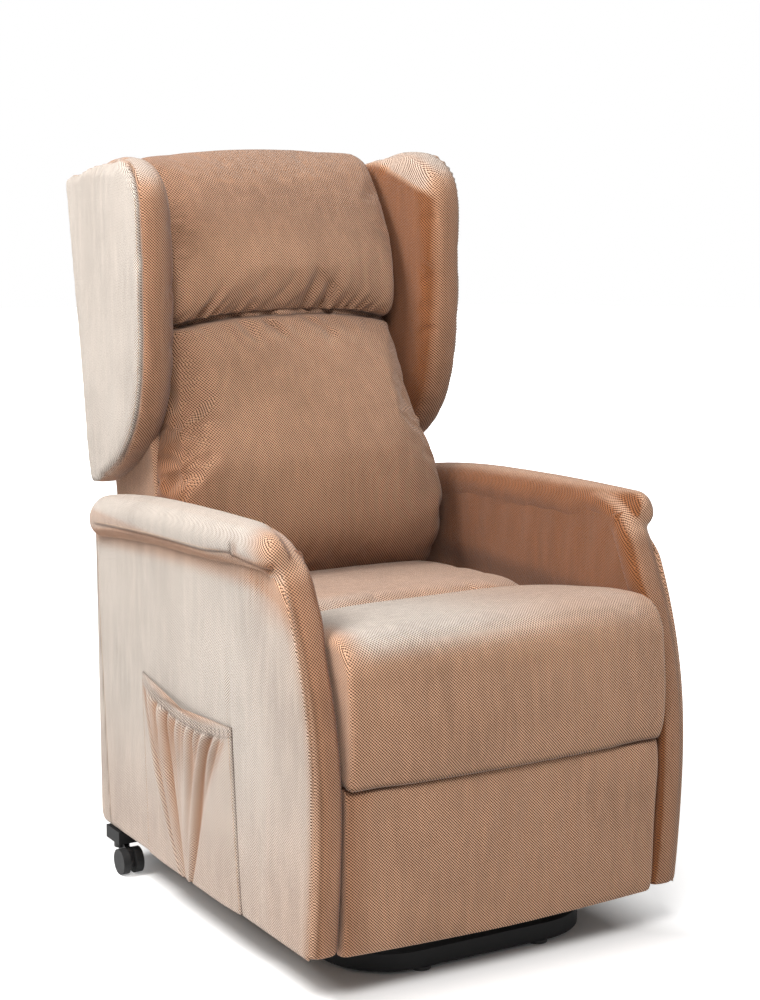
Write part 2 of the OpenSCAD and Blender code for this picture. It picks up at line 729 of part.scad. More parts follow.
// slotted steel lug that the recline rod pulls on
module recline_lug() {
  low = ph[1] + 18;
  color([0.17, 0.17, 0.18]) difference() {
    union() {
      for (s = [-1, 1])
        slab(s > 0 ? act_x + 11 : act_x - 17, s > 0 ? act_x + 17 : act_x - 11)
          polygon([[stile_y(low) + 4, low], [stile_y(low) + 40, low],
            [pr[0] + 22, pr[1] + 4], [pr[0] + 14, pr[1] - 17], [pr[0] - 12, pr[1] - 18],
            [pr[0] - 26, pr[1] + 6], [stile_y(low) - 8, low - 40]]);
      slab(act_x - 24, act_x + 24) polygon([[stile_y(low) + 4, low], [stile_y(low) + 40, low],
        [stile_y(low) + 40, low - 5], [stile_y(low) + 4, low - 5]]);
    }
    slot(ph, rec_a + 0.4, rec_r - 8, rec_r + 0.6, 2 * stud_r + 3.4, act_x - 40, act_x + 40);
  }
}

module back_webbing() {
  color([0.2, 0.2, 0.22])
    for (i = [0:5]) {
      z = mix(ph[1] + 130, cover_top - 120, i / 5);
      slab(-head_half + 4, head_half - 4) polygon([[stile_y(z) - web_thick, z],
        [stile_y(z) - 0.1, z], [stile_y(z + 50) - 0.1, z + 50], [stile_y(z + 50) - web_thick, z + 50]]);
    }
}

// rear cover: a flat panel between the wings, wider below them with a return on each side
module back_cover() {
  z0 = ph[1] + 10;
  z1 = wing_low - 4;
  zs = ph[1] + 78.2;
  color([0.82, 0.69, 0.53]) {
    slab(-head_half - 2, head_half + 2) polygon([[rear_y(z0) - cover_thick, z0],
      [rear_y(z0), z0], [rear_y(cover_top), cover_top], [rear_y(cover_top) - cover_thick, cover_top]]);
    slab(1 - arm_o, arm_o - 1) polygon([[rear_y(z0) - cover_thick, z0],
      [rear_y(z0), z0], [rear_y(z1), z1], [rear_y(z1) - cover_thick, z1]]);
    for (s = [-1, 1])
      slab(s > 0 ? arm_o - 1 - cover_thick : 1 - arm_o, s > 0 ? arm_o - 1 : 1 + cover_thick - arm_o)
        polygon([[stile_y(zs) - 40, zs], [rear_y(zs) - 2, zs], [rear_y(z1) - 2, z1], [stile_y(z1) - 40, z1]]);
  }
}

module back_bracket_right() {
  low = ph[1] + 22;
  high = ph[1] + 74;
  color([0.17, 0.17, 0.18]) difference() {
    union() {
      slab(arm_o - 6, arm_o) polygon([ph + [-15, 2], [stile_y(low) + 8, high],
        [stile_y(high) + 36, high], [stile_y(low) + 36, low], ph + [14, -6]]);
      disc(ph, 15, arm_o - 6, arm_o);
    }
    disc(ph, stud_r + run_gap, arm_o - 8, arm_o + 2);
  }
}

module back_bracket_left() { mirror([1, 0, 0]) back_bracket_right(); }

// front line of the lumbar cushion at height z
function lumbar_y(z) =
  let(t = (z - seat_height) / (back_seam - seat_height))
  mix(ry - 139, ry - 61, t) - 52 * sin(180 * pow(min(max(t, 0), 1), 0.72));
function lumbar_w(t) = mix(lumbar_half, head_half + 2, pow(max(t - 0.3, 0) / 0.7, 1.2));

module lumbar_cushion() {
  n = pillow_n + 2;
  z0 = seat_height - 15;
  color([0.8, 0.66, 0.5]) padded([for (i = [n:-1:0])
    let(t = spread(i, n), f = full(t, t < 0.5 ? 9 : 6), z = mix(z0, back_seam - 1, t),
        w = lumbar_w(t) + 8 * (1 - t) - 12 * (1 - f), wi = mix(lumbar_half - 29, head_half - 1, min(t * 2.4, 1)), yi = min(stile_y(z) - web_thick - 0.4, mix(ph[0] + 26, 999, min(t * 3, 1))),
        y = mix(yi, lumbar_y(z), f))
    [y, z, yi, z, -w, w, -min(w - 3, wi), min(w - 3, wi)]], 34, 4, 20);
}

// front line of the head cushion at height z
function head_y(z) = ry - 82 + 20 * pow(max(back_seam + 51 - z, 0) / 50, 3)
  + 121 * sq(max(z - back_seam - 51, 0) / (top_z - back_seam - 51));

module head_cushion() {
  crown = 5;
  base = back_seam + 1;
  z1 = top_z - 20;
  low = [for (i = [0:10])
    let(t = i / 10, z = mix(base, z1, 1 - pow(1 - t, 1.3)), f = full(0.5 * min((z - base) / 110, 1) + 0.003, 5))
    [mix(stile_y(z) - web_thick - 0.4, head_y(z) + crown, f), z, min(stile_y(z) - web_thick - 0.4, stile_y(cover_top)),
     min(z, cover_top - 9)]];
  over = [for (i = [0:5])
    let(s = i / 5)
    [mix(head_y(z1) + crown + 14, by - 6, s), top_z - crown - 31 * pow(s, 2.4) - 3 * sq(1 - min(4 * s, 1)),
     mix(stile_y(cover_top) + 4, by - 22, s), cover_top - 9 + 9.3 * min(s * 4, 1)]];
  color([0.8, 0.66, 0.5]) padded([for (i = [16:-1:0]) let(s = concat(low, over)[i])
    [s[0], s[1], s[2], s[3], -head_half, head_half, -head_half + 1, head_half - 1]], 26, 3, crown);
}

// front line of a wing: upright above, swept back towards its foot
function wing_y(z) =
  let(t = (z - wing_low) / (top_z - 2 - wing_low))
  ry - 136 + 192 * pow(1 - t, 6.7) + 80 * pow(t, 21);

module wing_right() {
  n = 15;
  z1 = top_z - 2;
  color([0.82, 0.69, 0.53]) padded([for (i = [n:-1:0])
    let(t = spread(i, n), z = mix(wing_low + 6, z1, t), f = full(t, 16),
        zr = mix(wing_low, z1 - 42, t), y = wing_y(z), yr = rear_y(zr) - 0.5,
        e = 16 * (1 - f))
    [y + e, z, yr - e, zr, head_half + 25 + e, wing_x - e, head_half + 2.3 + e, wing_x - e]],
    33, 8, 0, 3);
}

module wing_left() { mirror([1, 0, 0]) wing_right(); }

/* leg rest */

module legrest_board() {
  color([0.75, 0.6, 0.42])
    translate([-arm_o, fy + 21, ground_gap + 7])
      cube([2 * arm_o, board_thick, pg[1] - 14 - ground_gap - 7]);
}

module legrest_upper_pad() {
  n = 10;
  z1 = pg[1] - 24;
  color([0.8, 0.66, 0.5]) padded([for (i = [n:-1:0])
    let(t = spread(i, n), z = mix(front_seam + 2, z1, t), f = full(t, t > 0.5 ? 4 : 9),
        h = seat_half - 3 - 6 * (1 - f), y = face_y + 4 - 4 * sin(180 * t))
    [mix(fy + 21, y, f), z, fy + 21, z, -h, h, -h + 2, h - 2]], 14, 3, 0);
}

module legrest_lower_pad() {
  n = 10;
  color([0.8, 0.66, 0.5]) padded([for (i = [n:-1:0])
    let(t = spread(i, n), z = mix(ground_gap + 3, front_seam - 2, t), f = full(t, 10),
        h = mix(hx - 3, hx - 10, t), y = mix(fy + 21 - lower_pad, fy - 5, t))
    [mix(fy + 21, y, f), z, fy + 21, z, -h, h, -h + 1, h - 1]], 10, 3, 2);
}

// slotted steel lug that the leg rest rod pushes on
module legrest_lug() {
  y0 = fy + 21 + board_thick;
  color([0.17, 0.17, 0.18]) difference() {
    union() {
      for (s = [-1, 1])
        slab(s > 0 ? 11 - act_x : -17 - act_x, s > 0 ? 17 - act_x : -11 - act_x)
          polygon([[y0, pl[1] - 40], [pl[0] + 8, pl[1] - 24], [pl[0] + 24, pl[1] - 8],
            [pl[0] + 16, pl[1] + 22], [pl[0] - 10, pl[1] + 48], [y0, pl[1] + 60]]);
      slab(-act_x - 26, -act_x + 26) polygon([[y0, pl[1] - 42], [y0 + 4, pl[1] - 42],
        [y0 + 4, pl[1] + 62], [y0, pl[1] + 62]]);
    }
    slot(pg, leg_a + 1.8, leg_r - 28.5, leg_r + 0.7, 2 * stud_r + 10.4, -act_x - 40, -act_x + 40);
  }
}

module legrest_strap_right() {
  y0 = fy + 21 + board_thick;
  color([0.17, 0.17, 0.18]) difference() {
    union() {
      slab(arm_o - 5, arm_o) polygon([[y0, ground_gap + 130], [y0 + 16, ground_gap + 130],
        [y0 + 13, pg[1] - 8], [y0, pg[1] - 8]]);
      link_bar([y0 + 6, pg[1] - 6], 7, pg, 9, arm_o - 5, arm_o);
    }
    disc(pg, stud_r - 2 + run_gap, arm_o - 7, arm_o + 2);
  }
}

module legrest_strap_left() { mirror([1, 0, 0]) legrest_strap_right(); }

base_ring();
base_rear_bar();
front_glides();
lift_bracket_left();
lift_bracket_right();
lift_actuator();
lift_rod();
lift_arm_left();
lift_arm_right();
lift_cross_tube();
lift_link_left();
lift_link_right();
caster_hood_left();
caster_hood_right();
caster_wheels_left();
caster_wheels_right();
mech_plate_left();
mech_plate_right();
carriage_tube_front();
carriage_tube_rear();
seat_rail_front();
seat_rail_rear();
seat_side_left();
seat_side_right();
seat_webbing();
seat_cushion();
seat_front_cushion();
control_box();
arm_bolts();
arm_core_left();
arm_core_right();
arm_outer_left();
arm_outer_right();
arm_inner_left();
arm_inner_right();
arm_pad_left();
arm_pad_right();
side_pocket();
recline_actuator();
recline_rod();
legrest_actuator();
legrest_rod();
back_stiles();
back_rail_top();
back_rail_bottom();
back_webbing();
recline_lug();
lumbar_cushion();
head_cushion();
wing_left();
wing_right();
back_cover();
back_bracket_left();
back_bracket_right();
legrest_board();
legrest_upper_pad();
legrest_lower_pad();
legrest_lug();
legrest_strap_left();
legrest_strap_right();
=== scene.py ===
import math
import bpy
import numpy as np
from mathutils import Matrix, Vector
from mathutils.bvhtree import BVHTree


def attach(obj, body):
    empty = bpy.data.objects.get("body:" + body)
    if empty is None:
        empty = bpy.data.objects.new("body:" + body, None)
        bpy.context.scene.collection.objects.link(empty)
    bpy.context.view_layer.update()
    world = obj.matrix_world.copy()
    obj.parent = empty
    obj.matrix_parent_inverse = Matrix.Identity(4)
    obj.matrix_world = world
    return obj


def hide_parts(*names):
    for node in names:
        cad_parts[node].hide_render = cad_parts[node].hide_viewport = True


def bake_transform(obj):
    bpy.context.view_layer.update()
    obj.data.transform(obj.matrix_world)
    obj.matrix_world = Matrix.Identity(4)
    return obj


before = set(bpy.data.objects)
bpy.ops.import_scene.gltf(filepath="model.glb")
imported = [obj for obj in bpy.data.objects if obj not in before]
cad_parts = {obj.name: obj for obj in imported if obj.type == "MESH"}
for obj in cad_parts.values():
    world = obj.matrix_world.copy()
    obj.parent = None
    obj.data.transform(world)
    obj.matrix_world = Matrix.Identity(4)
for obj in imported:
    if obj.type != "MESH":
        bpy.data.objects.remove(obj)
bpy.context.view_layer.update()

scene = bpy.context.scene
MM = 0.001
SIDES = {-1: "left", 1: "right"}

# ---------------------------------------------------------------- sizes of the chair, in millimetres

HX, AX = 265.0, 303.0  # inner and outer face of an arm
FACE_Y, FY, RY, BY = -430.5, -413.0, 284.0, 430.5  # seat front, front and rear of an arm, rear of the back
GROUND_GAP, TOP_Z = 68.0, 1100.0  # foot of the cloth, top of the wings
SEAT_HEIGHT, SEAT_CREST = 464.0, 32.0  # cross seam of the seat, and how far the roll rises above it
SEAM_Y, SEAT_REAR = -133.0, 197.0  # cross seam and rear of the seat
SEAT_BASE, SEAT_HALF = 388.3, 258.0  # underside and half width of the seat
ROLL_RADIUS, FRONT_SEAM = 56.0, 295.0  # roll of the seat front, height of the leg rest's seam
COVER_TOP, LEAN = 1060.0, math.tan(math.radians(9.06))  # top of the rear cover, lean of the back
WING_X, WING_LOW = 276.0, 588.0  # outside and foot of a wing
HEAD_HALF, LUMBAR_HALF, BACK_SEAM = 195.0, 243.0, 829.0  # half widths of the back's cushions, and their seam
FOOT_REAR, WEB_GAP = 254.0, 3.4  # rear of the lumbar cushion's foot, room left in front of the webbing
ARM_HEIGHT, ARM_RISE, PAD_THICK, STRIP = 590.0, 34.0, 54.0, 30.0  # arm: rear height, rise, pad, strip
PAD_FRONT, PAD_REAR, NOTCH_Z, SWEEP_Z = -293.0, 266.0, 578.0, 277.0  # pad's ends; the arm's front line


# ---------------------------------------------------------------- lines of the chair

def mix(a, b, t):
    """Straight mix: a where t is 0, b where t is 1."""
    return a + (b - a) * t


def full(t, n):
    """Fullness along a cushion: the n-th root of 1 - |2t - 1|^n, which is 1 in the middle and draws in at
    both ends."""
    return np.maximum(1 - np.abs(2 * t - 1) ** n, 0) ** (1 / n)


def quarter(t):
    """Quarter circle sqrt(1 - (1 - t)^2) that rises from 0 at 0 to 1 at 1."""
    return np.sqrt(np.clip(1 - (1 - np.minimum(t, 1)) ** 2, 0, 1))


def spread(count):
    """Stations from 0 to 1 on a half cosine, so they bunch up at both ends."""
    i = np.arange(count + 1)
    return 0.5 - 0.5 * np.cos(np.pi * (i + 0.25) / (count + 0.5))


def step(a, b, v):
    """Smooth step: 0 at a, 1 at b, and 3t^2 - 2t^3 in between."""
    t = np.clip((v - a) / (b - a), 0, 1)
    return t * t * (3 - 2 * t)


def bell(v, width):
    """Bell curve exp(-(v / width)^2)."""
    return np.exp(-(v / width) ** 2)


def rear_y(z):
    """Rear face of the back at height z: a straight line that leans by LEAN."""
    return BY - (COVER_TOP - z) * LEAN


def stile_y(z):
    """Front face of the wooden stiles: the rear face less the cover and the stile depth."""
    return rear_y(z) - 57.05


def arm_y(z):
    """Front line of an arm: a parabola that sweeps back 94 mm above SWEEP_Z and draws in 15 mm below it."""
    up = FY + 94 * ((z - SWEEP_Z) / (NOTCH_Z - 1 - SWEEP_Z)) ** 2
    down = FY + 15 * ((SWEEP_Z - z) / (SWEEP_Z - GROUND_GAP)) ** 2
    return np.where(z > SWEEP_Z, up, down)


def pad_z(y):
    """Top line of an arm pad: highest at its front and falling back with the power 1.6 of the distance."""
    return ARM_HEIGHT + ARM_RISE * (1 - (np.abs(y - PAD_FRONT) / (RY - PAD_FRONT)) ** 1.6)


def pad_line(y):
    """Top line of an arm pad with its rear rolled down by 12 mm."""
    return pad_z(y) - 12 * (np.maximum(y - 48, 0) / 250) ** 2


def lumbar_y(z):
    """Front line of the lumbar cushion: a leaning line with a 52 mm sine bulge that is fullest low down."""
    t = (z - SEAT_HEIGHT) / (BACK_SEAM - SEAT_HEIGHT)
    return mix(RY - 139, RY - 61, t) - 52 * np.sin(np.pi * np.clip(t, 0, 1) ** 0.72)


def lumbar_half(t):
    """Half width of the lumbar cushion: full below, drawn in to the head cushion's above."""
    return mix(LUMBAR_HALF, HEAD_HALF + 2, (np.maximum(t - 0.3, 0) / 0.7) ** 1.2)


def head_y(z):
    """Front line of the head cushion: upright, tucked back to the seam at its foot and rolling back at its
    top."""
    foot = 20 * (np.maximum(BACK_SEAM + 51 - z, 0) / 50) ** 3
    return RY - 82 + foot + 121 * (np.maximum(z - BACK_SEAM - 51, 0) / (TOP_Z - BACK_SEAM - 51)) ** 2


def wing_y(z):
    """Front line of a wing: upright above, swept back with the power 6.7 towards its foot."""
    t = np.clip((z - WING_LOW) / (TOP_Z - 2 - WING_LOW), 0, 1)
    return RY - 136 + 192 * (1 - t) ** 6.7 + 80 * t ** 21


def seam_lift(x):
    """How far the seam between head and lumbar cushions rises above BACK_SEAM: 22 mm in the middle."""
    return 22 * np.maximum(1 - np.abs((x + 10) / 205.0) ** 2.6, 0)


def rear_seam_y(z):
    """Upright seam near the rear of an arm's outer panel: it leans from y 276 above to 243 at the foot."""
    return 243 + 33 * np.clip((z - 68) / 380, 0, 1) ** 0.7


def gathered(line, width):
    """Profile of one gather: a valley exp(-u^2) with a ridge of half its height beside it. Returns profile
    and valley."""
    u = line / width
    valley = np.exp(-u ** 2)
    return valley - 0.5 * np.exp(-(u - 1.7) ** 2), valley


def folded(folds, line, d, widen, power=1.0):
    """Sum of folds that run out from a seam, as push and valley. Each fold is (place on line, width, depth,
    length, slope): it leans by slope and widens with the distance d, and dies out as exp(-(d /
    length)^power)."""
    push, sunk = 0, 0
    away = np.maximum(d, 0)
    for place, width, depth, length, slope in folds:
        g, valley = gathered(line - place - slope * d, width + widen * away)
        reach = depth * np.exp(-(away / length) ** power)
        push, sunk = push + reach * g, sunk + reach * valley
    return push, sunk


def evenly(line, count):
    """Points at even lengths along a line of points."""
    length = np.concatenate([[0], np.cumsum(np.hypot(*np.diff(line, axis=0).T))])
    want = np.linspace(0, length[-1], count)
    return np.stack([np.interp(want, length, line[:, k]) for k in range(2)], 1)


# ---------------------------------------------------------------- mesh making

def add_mesh(name, points, faces, smooth=True, closed=True):
    """Puts points in millimetres and a list of faces into a new object at the origin. A closed shell whose
    signed volume, the sum of a . (b x c) / 6 over its triangles, is negative is turned right side out."""
    mesh = bpy.data.meshes.new(name)
    mesh.from_pydata((np.asarray(points, float) * MM).tolist(), [], faces)
    if closed:
        mesh.calc_loop_triangles()
        corners = np.empty(len(mesh.loop_triangles) * 3, int)
        mesh.loop_triangles.foreach_get("vertices", corners)
        a, b, c = np.moveaxis(np.asarray(points, float)[corners.reshape(-1, 3)], 1, 0)
        if (a * np.cross(b, c)).sum() < 0:
            mesh.flip_normals()
    mesh.polygons.foreach_set("use_smooth", np.full(len(mesh.polygons), smooth))
    mesh.update()
    piece = bpy.data.objects.new(name, mesh)
    scene.collection.objects.link(piece)
    return piece


def quads(rows, cols):
    """Quads of a rows by cols grid of points whose rows close on themselves."""
    i, j = np.meshgrid(np.arange(rows - 1), np.arange(cols), indexing="ij")
    m = (j + 1) % cols
    corners = [i * cols + j, i * cols + m, (i + 1) * cols + m, (i + 1) * cols + j]
    return np.stack(corners, -1).reshape(-1, 4).tolist()


def closed_loft(rings):
    """Points and faces of a tube through closed rings (stations, points, 3), its ends closed by fans to a
    middle point."""
    count, size, _ = rings.shape
    points = np.concatenate([rings.reshape(-1, 3), rings[:1].mean(1), rings[-1:].mean(1)])
    j = np.arange(size)
    following, a = (j + 1) % size, count * size
    first = np.stack([np.full(size, a), following, j], -1)
    last = np.stack([np.full(size, a + 1), a - size + j, a - size + following], -1)
    return points, quads(count, size) + first.tolist() + last.tolist()


def loft(name, rings, side=1, turned=False):
    """A closed piece through rings. On side -1 the rings are mirrored and run the other way round. Where turned is
    set, each face is listed backwards, so that its diagonal runs the other way."""
    points, faces = closed_loft((rings * np.array([side, 1, 1]))[:, ::side])
    return add_mesh(name, points, [face[::-1] for face in faces] if turned else faces)


def two_skins(name, one, other, crease=None, nap=None, turned=False):
    """A thin closed piece between two grids of points. Marks made for one grid serve both skins."""
    piece = loft(name, np.concatenate([one, other[:, ::-1]], 1), turned=turned)
    if crease is not None:
        marked(piece, *[np.append(np.concatenate([k, k[:, ::-1]], 1).ravel(), [0, 0]) for k in (crease, nap)])
    return piece


def corner_table(across, shaded, bend):
    """Ring of a rounded rectangle on the unit square for four corner radii: front left, front right, rear
    right and rear left. Row 0 and rows 1 to 4 are the constant and the radius factors of s, rows 5 and 6 to 9
    those of b."""
    f = (np.arange(across) + 1) / (across + 1)
    g = (np.arange(shaded) + 1) / (shaded + 1)
    q = np.linspace(0, np.pi / 2, bend)
    o = 0 * q

    def rows(s, s_factors, b, b_factors):
        """Columns of the table for one stretch of the ring."""
        table = np.zeros((10, len(s)))
        table[0], table[5] = s, b
        for first, factors in ((1, s_factors), (6, b_factors)):
            for k, value in factors:
                table[first + k] = value
        return table

    return np.concatenate([
        rows(f, [(0, 1 - f), (1, -f)], 0 * f, []),
        rows(o + 1, [(1, np.sin(q) - 1)], o, [(1, 1 - np.cos(q))]),
        rows(0 * g + 1, [], g, [(1, 1 - g), (2, -g)]),
        rows(o + 1, [(2, np.cos(q) - 1)], o + 1, [(2, np.sin(q) - 1)]),
        rows(1 - f, [(2, f - 1), (3, f)], 0 * f + 1, []),
        rows(o, [(3, 1 - np.sin(q))], o + 1, [(3, np.cos(q) - 1)]),
        rows(0 * g, [], 1 - g, [(3, g - 1), (0, g)]),
        rows(o, [(0, 1 - np.cos(q))], o, [(0, 1 - np.sin(q))])], 1)


def cushion_rings(sections, corner, crown, across, shaded, bend):
    """Rounded rectangular rings of a cushion. Each section is front y, front z, rear y, rear z, then the two
    x limits at the front and the two at the rear. The corner radius is one number, or four for each section:
    front left, front right, rear right, rear left. The front face crowns outwards by crown times 1 - (2s -
    1)^2. across, deep and bend count the points of a front, a side and a corner."""
    t = np.stack(np.broadcast_arrays(*sections), 1).astype(float)[:, :, None]
    fy, fz, ry, rz, x0, x1, u0, u1 = [t[:, k] for k in range(8)]
    table = corner_table(across, shaded, bend)
    depth = np.maximum(np.hypot(ry - fy, rz - fz), 1e-6)
    radius = np.broadcast_to(np.asarray(corner, float), (len(t), 4))
    s = table[0] + np.minimum(radius / (x1 - x0), 0.48) @ table[1:5]
    b = table[5] + np.minimum(radius / depth, 0.48) @ table[6:10]
    bulge = crown * (1 - (2 * s - 1) ** 2) * (1 - b) / depth
    x = mix(mix(x0, x1, s), mix(u0, u1, s), b)
    return np.stack([x, mix(fy, ry, b - bulge), mix(fz, rz, b - bulge)], -1)


def read(mesh, key):
    """Vertex places ("co") or normals ("normal") of a mesh, as rows of three."""
    flat = np.empty(len(mesh.vertices) * 3)
    mesh.vertices.foreach_get(key, flat)
    return flat.reshape(-1, 3)


def points_normals(piece):
    """Vertex places in millimetres and vertex normals of a piece."""
    return read(piece.data, "co") / MM, read(piece.data, "normal")


def set_points(piece, points):
    """Puts vertex places in millimetres back into a piece's mesh."""
    piece.data.vertices.foreach_set("co", (points * MM).ravel())
    piece.data.update()


def modified(piece, kind, **settings):
    """Replaces a piece's mesh by the one that a modifier with these settings makes."""
    modifier = piece.modifiers.new(kind.title(), kind)
    for key, value in settings.items():
        setattr(modifier, key, value)
    graph = bpy.context.evaluated_depsgraph_get()
    made = piece.evaluated_get(graph)
    mesh = bpy.data.meshes.new_from_object(made, preserve_all_data_layers=True, depsgraph=graph)
    piece.modifiers.clear()
    old, name = piece.data, piece.data.name
    piece.data = mesh
    bpy.data.meshes.remove(old)
    mesh.name = name
    mesh.polygons.foreach_set("use_smooth", np.ones(len(mesh.polygons), bool))
    return piece


def subdivided(piece):
    """Applies one Catmull-Clark subdivision."""
    return modified(piece, "SUBSURF", levels=1, render_levels=1)


CLOTH_FRAMES = 20
CLOTH_SETTINGS = {"quality": 5, "mass": 0.3, "tension_stiffness": 15, "compression_stiffness": 15,
                  "bending_stiffness": 0.6, "use_pressure": True}


def plumped(piece, voxel, pressure, cap, hold):
    """Swells a closed piece as padded cloth: voxel remesh, cloth with inner pressure and no gravity, then
    each point's travel is cut to cap and to what hold allows, and the skin is subdivided once."""
    modified(piece, "REMESH", mode="VOXEL", voxel_size=voxel * MM)
    modified(piece, "SMOOTH", factor=0.5, iterations=14)
    before = read(piece.data, "co") / MM
    after = before.copy()
    cloth = piece.modifiers.new("Cloth", "CLOTH")
    for key, value in {**CLOTH_SETTINGS, "uniform_pressure_force": pressure}.items():
        setattr(cloth.settings, key, value)
    cloth.settings.effector_weights.gravity = 0
    cloth.collision_settings.use_collision = False
    cloth.point_cache.frame_start, cloth.point_cache.frame_end = 1, CLOTH_FRAMES
    for f in range(1, CLOTH_FRAMES + 1):
        scene.frame_set(f)
    evaluated = piece.evaluated_get(bpy.context.evaluated_depsgraph_get())
    move = read(evaluated.to_mesh(), "co") / MM - before
    evaluated.to_mesh_clear()
    piece.modifiers.clear()
    scene.frame_set(1)
    length = np.linalg.norm(move, axis=1, keepdims=True)
    after = before + move * np.minimum(1, cap / np.maximum(length, 1e-9))
    set_points(piece, hold(before, after))
    return subdivided(piece)


def marked(piece, crease, nap):
    """Stores for each point two marks of painted light: crease, the painted shade that darkens a seam or fold,
    and nap, 1 for painted light (the pale, lit colour) and -1 for painted shade (the darker, shaded colour)."""
    for name, values in (("crease", np.clip(crease, 0, 1)), ("nap", np.clip(nap, -1, 1))):
        values = np.broadcast_to(values, len(piece.data.vertices)).astype(np.float32)
        piece.data.attributes.new(name, "FLOAT", "POINT").data.foreach_set("value", values)
    return piece


# ---------------------------------------------------------------- materials

def times(colour, factor, offset=0.0):
    """A colour with each part times the factor plus the offset, and at most 1."""
    return tuple(min(factor * c + offset, 1) for c in colour)


class Paint:
    """A node material being made. What its methods take is a socket to link or a plain value."""

    def __init__(self, name):
        """Starts the material with its tree and its place."""
        self.material = bpy.data.materials.new(name)
        self.material.use_nodes = True
        self.tree = self.material.node_tree
        self.place = self.node("TexCoord").outputs

    def node(self, kind, **settings):
        """A new node with its settings."""
        node = self.tree.nodes.new("ShaderNode" + kind)
        for key, value in settings.items():
            setattr(node, key, value)
        return node

    def put(self, socket, value):
        """Links a socket, or sets its constant."""
        if hasattr(value, "links"):
            self.tree.links.new(value, socket)
        elif value is not None:
            socket.default_value = (*value, 1) if socket.type == "RGBA" else value

    def m(self, kind, a, b=None, clamp=False):
        """Math of one or two values."""
        node = self.node("Math", operation=kind, use_clamp=clamp)
        self.put(node.inputs[0], a)
        self.put(node.inputs[1], b)
        return node.outputs[0]

    def line(self, value, factor, offset):
        """The value times the factor plus the offset."""
        return self.m("ADD", self.m("MULTIPLY", value, factor), offset)

    def split(self, kind):
        """The three parts of the place ("Object") or of the normal ("Normal")."""
        node = self.node("SeparateXYZ")
        self.put(node.inputs[0], self.place[kind])
        return node.outputs

    def stretched(self, scale):
        """The place with each part times its scale."""
        node = self.node("Mapping")
        node.inputs["Scale"].default_value = scale
        self.put(node.inputs["Vector"], self.place["Object"])
        return node.outputs[0]

    def noise(self, scale, detail, rough=0.55, place=None, distortion=0.0):
        """Noise of the place, or of a stretched one."""
        node = self.node("TexNoise")
        settings = {"Scale": scale, "Detail": detail, "Roughness": rough, "Distortion": distortion}
        for key, value in settings.items():
            self.put(node.inputs[key], value)
        self.put(node.inputs["Vector"], self.place["Object"] if place is None else place)
        return node.outputs["Fac"]

    def ramp(self, source, *stops):
        """Colour ramp between two (place, colour) stops."""
        node = self.node("ValToRGB")
        for element, (place, colour) in zip(node.color_ramp.elements, stops):
            element.position, element.color = place, (*colour, 1)
        self.put(node.inputs[0], source)
        return node.outputs[0]

    def bump(self, height, strength, distance, normal=None):
        """Bump of a height, with its distance in metres."""
        node = self.node("Bump")
        settings = {"Height": height, "Strength": strength, "Distance": distance, "Normal": normal}
        for key, value in settings.items():
            self.put(node.inputs[key], value)
        return node.outputs["Normal"]

    def mix(self, share, a, b, kind="MIX"):
        """Mix of two colours."""
        node = self.node("Mix", data_type="RGBA", blend_type=kind)
        for k, value in ((0, share), (6, a), (7, b)):
            self.put(node.inputs[k], value)
        return node.outputs[2]

    def done(self, values):
        """Feeds the shader's sockets and returns the material."""
        for key, value in values.items():
            self.put(self.tree.nodes["Principled BSDF"].inputs[key], value)
        return self.material


